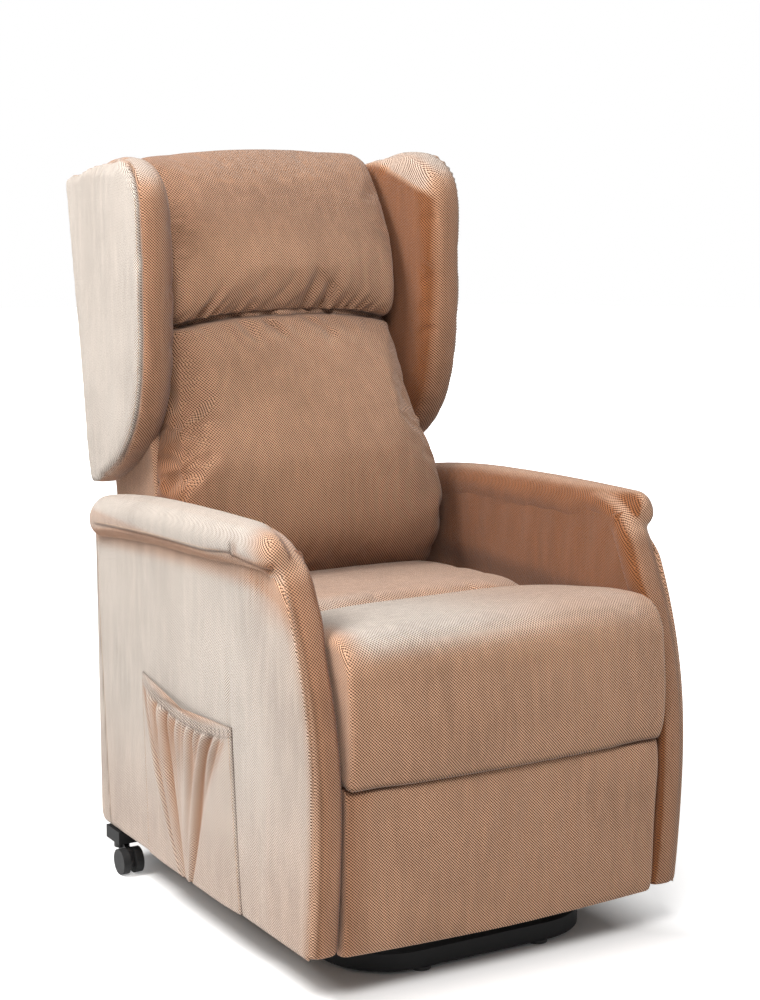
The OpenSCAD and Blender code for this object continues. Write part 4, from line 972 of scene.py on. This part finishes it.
def make_panel(name, node, side, facing, x_in, x_out, lead, tuck, shape):
    """Padded panel of an arm: a grid between its front, rear, foot and top lines, whose two faces rise from a
    shared edge on a quarter circle of 9 mm. lead is where it starts behind the arm's front, tuck how far it
    runs into the pad, and shape gives the swelling and the folds of the outer face."""
    rows, cols, low = 120, 150, GROUND_GAP - 1
    v = spread(rows - 1)[:, None]
    u = np.linspace(0, 1, cols)[None]
    zc = mix(low, NOTCH_Z - 10, v)
    top_rear = float(pad_z(np.array(RY))) - PAD_THICK + 6
    y = mix(arm_y(zc) + lead(zc), panel_rear(mix(low, top_rear, v), low, top_rear), u)
    roof = pad_z(np.clip(y, PAD_FRONT, RY)) - PAD_THICK + tuck * step(RY - 14, RY - 40, y) + 3
    z = mix(low, roof, v)
    gap = np.minimum(np.minimum(y - y[:, :1], y[:, -1:] - y), np.minimum(z - low, z[-1:] - z))
    rise = np.sqrt(np.clip(1 - (1 - np.clip(gap / 9.0, 0, 1)) ** 2, 0, 1))
    mid = (x_in + x_out) / 2
    swell, folds = shape(y, z)
    out = mid + (x_out - mid + swell) * rise + folds * step(3, 25, gap)
    inn = mid - (mid - x_in) * rise
    face, back = [np.stack([x * facing, y, z], -1) for x in (out, inn)]
    rings = np.concatenate([face, back[:, ::-1][:, 1:-1]], 1)[:, ::-facing]
    piece = loft(name + SIDES[side], rings, turned=True)
    return dressed(piece, "carriage", (node + SIDES[side],))


def outer_lead(z):
    """The outer panel starts 3 mm behind the arm's front corner, and 26 mm behind it under the pad's nose."""
    return 3 + 23 * step(520, 566, z)


def outer_shape(y, z):
    """Outer panel: no swelling. Soft upright folds, puckers under the pad's nose, and the groove of the rear
    seam."""
    a = 1.3 * bell(y + 285, 14) * step(520, 150, z) - 1.0 * bell(y + 255, 10) * step(520, 240, z)
    b = 1.3 * bell(y + 160, 11) * step(250, 330, z) * step(470, 400, z)
    b = b - 1.6 * bell(y + 174, 6) * step(300, 330, z) * step(450, 390, z)
    c = 0.9 * np.sin(y * 0.047 + 0.9 * np.sin(z * 0.009)) * step(250, 480, z)
    c = c + 0.5 * np.sin(y * 0.031 + 0.012 * z)
    d = 1.0 * np.sin(y * 0.42 + z * 0.05) * bell(y + 250, 55) * bell(z - 545, 28)
    return 0, a + b + c + d - 1.8 * bell(y - rear_seam_y(z), 2.4)


def inner_lead(z):
    """The inner panel starts behind the padded strip."""
    return STRIP - 6 + 0 * z


def inner_shape(y, z):
    """Inner panel: fills out by 12.8 mm towards the pad, so that both make one round face. A faint wave
    only."""
    waves = 0.7 * np.sin(y * 0.03 + z * 0.02) + 0.5 * np.sin(y * 0.11 + 0.02 * z) * step(470, 540, z)
    return 12.8 * step(430, 488, z) * step(-374, -345, y), waves


def make_arm_panels(side):
    """Outer panel, painted light on its outward face and painted shade under the pad, along the front edge and
    towards the foot, and painted shade in its rear seam; and the inner panel, all painted shade."""
    panel = make_panel("arm_outside_", "arm_outer_", side, side, AX - 7.9, AX - 0.2, outer_lead, 12, outer_shape)
    p, n = points_normals(panel)
    y, z = p[:, 1], p[:, 2]
    seam = bell(y - rear_seam_y(z), 1.8)
    under = pad_z(np.clip(y, PAD_FRONT, RY)) - PAD_THICK - 9 - z
    # painted_shade: painted shade under the pad and under its nose, along the front edge, towards the foot and
    # towards the front
    painted_shade = 0.8 * step(30, 2, under) + 0.8 * step(-215, -330, y) * step(75, 10, under)
    painted_shade = painted_shade + 0.25 * step(24, 4, y - arm_y(np.minimum(z, 570)))
    painted_shade = np.clip(painted_shade + 0.30 * step(330, 60, z) + 0.22 * step(-180, -400, y), 0, 1)
    marked(panel, 0.7 * seam * (n[:, 0] * side > 0.5), (1 - painted_shade) * step(0.1, 0.7, n[:, 0] * side))
    panel = make_panel("arm_inside_", "arm_inner_", side, -side, 26.1 - AX, -HX - 0.4, inner_lead, 26, inner_shape)
    # the inner panel is painted shade all over
    marked(panel, 0.0, -1.0)


BAND_THICK = 29.0  # thickness of an arm's band
# line of an arm's band over the front of the pad, as y, z; below it the band follows the arm's front line
BAND_TURN = [(-165, 609), (-200, 613), (-243, 615), (-276, 608), (-298, 596.5), (-318, 580), (-331, 563)]


def band_line(count):
    """Outer line of an arm's band as y, z: under the pad's top, over BAND_TURN and down the arm's front line.
    It is cut into even lengths, and each point is then averaged with its neighbours under a raised cosine."""
    z = np.linspace(548, GROUND_GAP - 1, 60)
    even = evenly(np.concatenate([BAND_TURN, np.stack([arm_y(z), z], 1)]), count)
    weight = np.hanning(9)[1:-1] / np.hanning(9).sum()
    padded = np.concatenate([2 * even[:1] - even[3:0:-1], even, 2 * even[-1:] - even[-2:-5:-1]])
    return np.stack([np.convolve(padded[:, k], weight, "valid") for k in range(2)], 1)


def band_rings():
    """Sections of an arm's band: it sweeps over the front of the pad and runs down the arm's front line, 29
    mm thick and crowned by 4 mm. Above the seat its inner edge is 8 mm further in than beside it."""
    line = band_line(112)
    along = np.gradient(line, axis=0)
    along /= np.linalg.norm(along, axis=1, keepdims=True)
    y, z = line.T
    rear_low = np.maximum(z + BAND_THICK * along[:, 0], GROUND_GAP - 1)
    inner = mix(mix(255.2, 247.5, step(470, 520, z)), HX - 13.5, step(560, 606, z))
    outer = AX - 0.5 - 7 * step(-260, -180, y)
    corner = [mix(8.0, 19.0, step(470, 570, z)), mix(10.0, 18.0, step(500, 590, z)), 0 * z + 5, 0 * z + 5]
    sections = y, z, y - BAND_THICK * along[:, 1], rear_low, inner, outer, inner, outer
    return cushion_rings(sections, np.stack(corner, 1), 4.0, 14, 8, 7)


def bolster_rings():
    """Sections of an arm's bolster, which overhangs the side panel. Its half height follows a quarter circle
    at both ends, and over its last 37 mm its outside draws in on a quarter ellipse."""
    r, nose = PAD_THICK / 2, PAD_FRONT - 26
    y = mix(PAD_REAR + 14, nose, np.linspace(0, 1, 70))
    back = quarter((PAD_REAR + 14.5 - y) / 22)
    c = back * quarter((y - nose + 0.5) / 32)
    line = pad_line(np.maximum(y, PAD_FRONT)) - r
    low = line - (r - 1 + 9 * step(-290, -80, y)) * mix(c, np.sqrt(c), step(PAD_FRONT + 20, nose, y))
    xo = AX + 17.0 * np.sqrt(1 - np.clip((-284 - y) / 37, 0, 1) ** 2) - 14 * (1 - back)
    xi = HX - 13.5 + 8 * (1 - back) + 30 * step(-212, nose + 4, y)
    corner = np.stack([25 + 5 * step(-200, -280, y), 25 + 0 * y, 22 + 0 * y, 10 + 0 * y], 1)
    return cushion_rings((y, line + (r - 3.5) * c, y, low, xi, xo, xi, xo), corner, 6, 12, 6, 9)


def make_arm_pad(side):
    """Arm cover: bolster and band grown into one skin by the voxel remesh and swollen as cloth, then the
    seams of its side, its patch and its front are pressed in."""
    flip = np.array([side, 1, 1])
    bolster, band = [closed_loft((rings * flip)[:, ::side]) for rings in (bolster_rings(), band_rings())]
    shifted = [[k + len(bolster[0]) for k in face] for face in band[1]]
    points = np.concatenate([bolster[0], band[0]])
    piece = add_mesh("arm_cushion_" + SIDES[side], points, bolster[1] + shifted)

    def hold(a, b):
        """Keeps the cover within its overhang, off the arm's front line and clear of the seat."""
        strip = step(585, 560, a[:, 2])
        x = np.clip(b[:, 0] * side, np.where(a[:, 2] < 490, 254.9, HX - 18.0), AX + 18.5)
        b[:, 0] = side * mix(x, a[:, 0] * side + np.clip(x - a[:, 0] * side, -0.5, 1.0), strip)
        b[:, 1] = np.clip(b[:, 1], a[:, 1] - 2.5, PAD_REAR + 16)
        b[:, 2] = np.maximum(b[:, 2], GROUND_GAP - 1.5)
        return b

    plumped(piece, 4.3, 3.0, 4, hold)
    p, n = points_normals(piece)
    x, y, z = p[:, 0] * side, p[:, 1], p[:, 2]
    facing = n[:, 0] * side
    out = step(0.0, 0.4, facing) * step(AX - 6, AX + 3, x)
    seam_z = pad_z(np.clip(y, PAD_FRONT, RY)) - 48 + 9 * step(-110, -215, y)
    lead = y + 213 + 0.12 * (z - 590)
    patch_edge = bell(lead, 2.6) * step(574, 580, z) * step(604, 595, z) * step(AX - 6, AX + 4, x)
    side_seam = bell(z - seam_z, 2.2) * out * step(-216, -210, y) * step(255, 235, y)
    lower_edge = bell(z - 580 - 0.03 * (y + 213), 2.2) * out * step(-208, -214, y) * step(-318, -305, y)
    dent = bell(lead + 12, 11) * bell(z - 592, 11) * step(AX, AX + 8, x)
    ahead = step(0.1, 0.5, -n[:, 1]) * step(580, 555, z)
    front_seam = bell(x - 291.5, 3.0) * ahead
    groove = np.minimum(side_seam + patch_edge + lower_edge, 1)
    p -= n * (1.8 * groove + 2.6 * dent + 1.2 * front_seam)[:, None]
    set_points(piece, p)
    # painted light on the left cover's outside and top behind the nose, and a little on the turned front corner;
    # painted shade on the right cover's top, on the insides, the underside, the front faces and in the dent;
    # crease paints shade in the seams and the dent
    turned = step(290, 296, x) * step(588, 560, z)
    inner = step(0.25, 0.75, -facing)
    under = step(0.15, 0.6, -n[:, 2]) * step(AX - 4, AX + 4, x)
    if side < 0:
        lit = np.maximum(step(0.0, 0.6, facing), 0.9 * step(0.25, 0.85, n[:, 2]))
        nap = lit * step(-322, -238, y - 0.25 * (z - 605)) * step(555, 575, z) - 0.45 * dent
    else:
        nap = -0.78 * step(0.1, 0.7, n[:, 2])
    nap = np.maximum(nap, 0.5 * turned) * (1 - inner) - inner - 0.9 * under - 0.45 * ahead
    marked(piece, 0.6 * groove + 0.12 * dent + 0.35 * front_seam, nap)
    return dressed(piece, "carriage", ("arm_pad_" + SIDES[side],))


for side in SIDES:
    make_arm_panels(side)
for side in SIDES:
    make_arm_pad(side)


# ---------------------------------------------------------------- pocket

# folds of the pocket: place along the top, width, depth, how far down it reaches
POCKET_FOLDS = [
    (-166, 4, 4, 45), (-153, 5, 7, 80), (-132, 8, 11, 230), (-112, 4, 4, 50), (-95, 6, 6, 85), (-72, 7, 8, 120),
    (-50, 5, 6, 70), (-32, 5, 6, 80), (-12, 6, 7, 95), (5, 5, 5, 60), (24, 9, 11, 190), (46, 5, 5, 60),
    (62, 6, 8, 120), (80, 5, 5, 80), (97, 5, 7, 230)]
HEM_DEPTH = 12.5  # from the pocket's top edge to the groove under its elastic hem


def make_pocket():
    """Pocket on the outside of the left arm: a thin sheet that stands off most at its gathered top. Its folds
    run out from a point 40 mm under the foot: each is a valley and ridge of the place where its ray meets the
    top, widens and dies out downwards. The elastic hem at the top is a ripple of 11 mm pitch with a groove
    under it."""
    rows, cols = 120, 300
    t = np.linspace(0, 1, cols)[None]
    v = np.linspace(0, 1, rows)[:, None]
    edge = mix(332.0, 345.0, t) - 20 * np.sin(np.pi * t) ** 0.8
    z = mix(GROUND_GAP + 2, edge, v)
    y = mix(mix(-208.0, -181.0, v), mix(100.0, 112.0, v), t)
    ray = (y + 42) * 290 / (z - 30) - 42
    hem = step(-15, -12, z - edge)
    hang = np.minimum(np.sin(np.pi * t) * 1.8, 1)
    d = np.maximum(edge - 12 - z, 0)
    body, shade = 0 * ray, 0 * ray
    for place, width, depth, reach in POCKET_FOLDS:
        g, valley = gathered(ray - place - 5 * np.sin(d * 0.02 + place), width * (1 + d / 110))
        fade = np.exp(-(d / reach) ** 2) * step(0, 14, d + 6)
        body += depth * g * fade
        shade += 0.09 * depth * valley * fade
    ripple = np.cos(2 * np.pi * t * 27) * bell(z - edge + 6, 7.5)
    belly = 3.0 + 7.0 * v ** 0.8 * (1 - 0.55 * step(-40, -4, z - edge))
    out = 2.0 + hang * belly - np.clip(body, -6, 7.5) * hang * (1 - 0.8 * hem)
    out = out + 1.5 * ripple * hang - 1.8 * bell(z - edge + HEM_DEPTH, 1.8) * hang + 0.8 * bell(z - edge, 2.0)
    out = np.maximum(out, 1.0) * step(-0.002, 0.02, t) * step(1.002, 0.98, t) + 0.5
    outer = np.stack([-AX - out, y + 0 * v, z + 0 * t], -1)
    inner = outer + np.array([1.4, 0, 0])
    # painted light over the pocket; painted shade in the fold valleys below the hem and darker towards the foot;
    # crease paints shade in the hem groove, the ripple's troughs and along the two side edges
    crease = 0.25 * shade + 0.5 * bell(z - edge + HEM_DEPTH, 1.4) + 0.8 * np.maximum(-ripple - 0.2, 0)
    crease = np.maximum(crease + 0.5 * bell(t, 0.010) + 0.8 * bell(t - 1, 0.006), 0.8 * bell(t, 0.006))
    nap = 0.85 - 1.25 * np.clip(shade, 0, 1.1) * step(0, 12, edge - 12 - z) - 0.2 * step(250, 80, z)
    piece = two_skins("pocket_cloth", outer, inner, crease, nap, turned=True)
    dressed(piece, "carriage", ("side_pocket",))
    return piece


pocket = make_pocket()


# ---------------------------------------------------------------- stitches

STITCH_PITCH, STITCH_LONG, THREAD_RADIUS = 5.2, 3.6, 0.55


def make_stitches(name, target, line, body):
    """Row of stitches along a line of points, laid on the target piece: each is a spindle whose radius
    follows the root of a half sine along its length and whose middle rises by half a thread."""
    tree = BVHTree.FromObject(target, bpy.context.evaluated_depsgraph_get())
    run = np.concatenate([[0], np.cumsum(np.linalg.norm(np.diff(line, axis=0), axis=1))])
    mids = np.arange(STITCH_PITCH / 2, run[-1], STITCH_PITCH)
    found = [tree.find_nearest(Vector([np.interp(m, run, line[:, k]) * MM for k in range(3)])) for m in mids]
    centre = np.array([hit[0][:] for hit in found]) / MM
    up = np.array([hit[1][:] for hit in found])
    ahead = np.gradient(centre, axis=0)
    ahead -= up * (ahead * up).sum(1, keepdims=True)
    ahead /= np.linalg.norm(ahead, axis=1, keepdims=True)
    across = np.cross(ahead, up)
    k = np.linspace(0.12, np.pi - 0.12, 5)[:, None]
    q = np.linspace(0, 2 * np.pi, 6, endpoint=False)[None]
    radius, rise = THREAD_RADIUS * np.sqrt(np.sin(k)), THREAD_RADIUS * (0.55 * np.sin(k) - 0.15)
    parts = [-np.cos(k) * STITCH_LONG / 2 + 0 * q, radius * np.cos(q), radius * np.sin(q) + rise]
    away = [w[None, :, :, None] * a[:, None, None] for w, a in zip(parts, (ahead, across, up))]
    spots = centre[:, None, None] + sum(away)
    one = quads(5, 6) + [[5, 4, 3, 2, 1, 0], [24, 25, 26, 27, 28, 29]]
    faces = [[v + 30 * c for v in f] for c in range(len(centre)) for f in one]
    return dressed(add_mesh(name, spots.reshape(-1, 3), faces), body, (), thread)


def on_grid(x, y, z):
    """Line of points from x, y and z, each an array or a number."""
    return np.stack(np.broadcast_arrays(x, y, z), -1).astype(float)


seam_z, wing_z, pad_y = np.linspace(84, 500, 60), np.linspace(660, 1035, 60), np.linspace(-205, 235, 60)
for side, word in SIDES.items():
    for kind, target, line, body in (
            ("panel", "arm_outside_", on_grid(side * AX, rear_seam_y(seam_z) - 4.5, seam_z), "carriage"),
            ("pad", "arm_cushion_", on_grid(side * (AX + 20), pad_y, pad_z(pad_y) - 44), "carriage"),
            ("wing", "wing_shell_", on_grid(side * WING_X, wing_y(wing_z) + 14, wing_z), "back")):
        make_stitches(kind + "_stitches_" + word, bpy.data.objects[target + word], line, body)
for word, foot, head, top in (("front", -204.0, -177.0, 322), ("rear", 96.0, 107.0, 334)):
    line = on_grid(-AX - 4, mix(foot, head, np.linspace(0, 1, 40)), np.linspace(76, top, 40))
    make_stitches("pocket_stitches_" + word, pocket, line, "carriage")


# ---------------------------------------------------------------- floor, light and camera

def make_floor():
    """Pale floor disc of 9 m radius. For the camera and mirrors it glows as painted light: not at all under the
    chair, so that the floor stays darker there like shade, and more further out, so that it runs into the white."""
    ring = np.linspace(0, 1, 24)[:, None] ** 1.5 * 9000
    turn = np.linspace(0, 2 * np.pi, 96, endpoint=False)[None]
    points = np.stack([ring * np.cos(turn), ring * np.sin(turn), 0 * ring * turn - 0.2], -1)
    floor = add_mesh("floor", points.reshape(-1, 3), quads(24, 96), False, False)
    paint = Paint("pale_floor")
    m, parts = paint.m, paint.split("Object")
    beyond = [m("SUBTRACT", m("ABSOLUTE", part), half) for part, half in zip(parts, (0.22, 0.36))]
    beyond = m("MAXIMUM", *beyond)
    path = paint.node("LightPath").outputs
    seen = m("MAXIMUM", path["Is Camera Ray"], path["Is Glossy Ray"])
    # painted light: the glow is nil under the chair and grows beyond its footprint
    glow = m("MULTIPLY", m("MULTIPLY", beyond, 8.0, True), m("ADD", m("MULTIPLY", beyond, 0.35, True), 0.5))
    floor.data.materials.append(paint.done({
        "Base Color": paint.ramp(paint.noise(3, 3), (0.3, (0.84,) * 3), (0.7, (0.86,) * 3)),
        "Roughness": 0.9, "Specular IOR Level": 0.1,
        "Emission Color": (1, 1, 1), "Emission Strength": m("MULTIPLY", seen, glow)}))


def placed(name, data, place, aim):
    """Puts a lamp or camera at a place, facing along aim."""
    holder = bpy.data.objects.new(name, data)
    scene.collection.objects.link(holder)
    holder.location = place
    holder.rotation_euler = aim.to_track_quat("-Z", "Y").to_euler()
    return holder


def soft_box(name, place, target, size, power, colour):
    """Large square area light that faces a point."""
    lamp = bpy.data.lights.new(name, "AREA")
    lamp.size, lamp.energy, lamp.color = size, power, colour
    placed(name, lamp, place, Vector(target) - Vector(place))


def make_world():
    """White surroundings: full for what the camera and mirrors see, WORLD_LEVEL for what they light."""
    world = bpy.data.worlds.new("studio")
    scene.world = world
    world.use_nodes = True
    nodes, links = world.node_tree.nodes, world.node_tree.links
    nodes["Background"].inputs["Color"].default_value = (1, 1, 1, 1)
    path = nodes.new("ShaderNodeLightPath").outputs

    def math_of(kind, a, b):
        """Math of a socket and a socket or number."""
        node = nodes.new("ShaderNodeMath")
        node.operation = kind
        links.new(a, node.inputs[0])
        if hasattr(b, "links"):
            links.new(b, node.inputs[1])
        else:
            node.inputs[1].default_value = b
        return node.outputs[0]

    seen = math_of("MAXIMUM", path["Is Glossy Ray"], path["Is Transmission Ray"])
    seen = math_of("MAXIMUM", path["Is Camera Ray"], seen)
    level = math_of("ADD", math_of("MULTIPLY", seen, 1 - WORLD_LEVEL), WORLD_LEVEL)
    links.new(level, nodes["Background"].inputs["Strength"])


WORLD_LEVEL = 0.36
FOCAL, SENSOR = 2237.36, 36.0  # focal length in pixels of a picture 1000 high, sensor height in mm
TARGET, REACH = Vector((-0.00023, -0.0668, 0.60338)), 3.26813  # what the camera faces, and how far off it is
AZIMUTH, HEIGHT = math.radians(-30.24), math.radians(10.58)

make_floor()
soft_box("key", (-2.0, 0.5, 3.2), (0, 0, 0.6), 1.2, 138, (1.0, 0.995, 0.985))
soft_box("front", (-0.9, -1.7, 2.6), (0, -0.1, 0.6), 1.1, 60, (1.0, 0.985, 0.97))
make_world()
lens = bpy.data.cameras.new("camera")
lens.sensor_fit, lens.sensor_height, lens.sensor_width = "VERTICAL", SENSOR, 0.76 * SENSOR
lens.lens, lens.clip_end = FOCAL / 1000 * SENSOR, 60
away = Vector((math.sin(AZIMUTH) * math.cos(HEIGHT), -math.cos(AZIMUTH) * math.cos(HEIGHT), math.sin(HEIGHT)))
scene.camera = placed("camera", lens, TARGET + away * REACH, -away)
scene.view_settings.view_transform = "Standard"
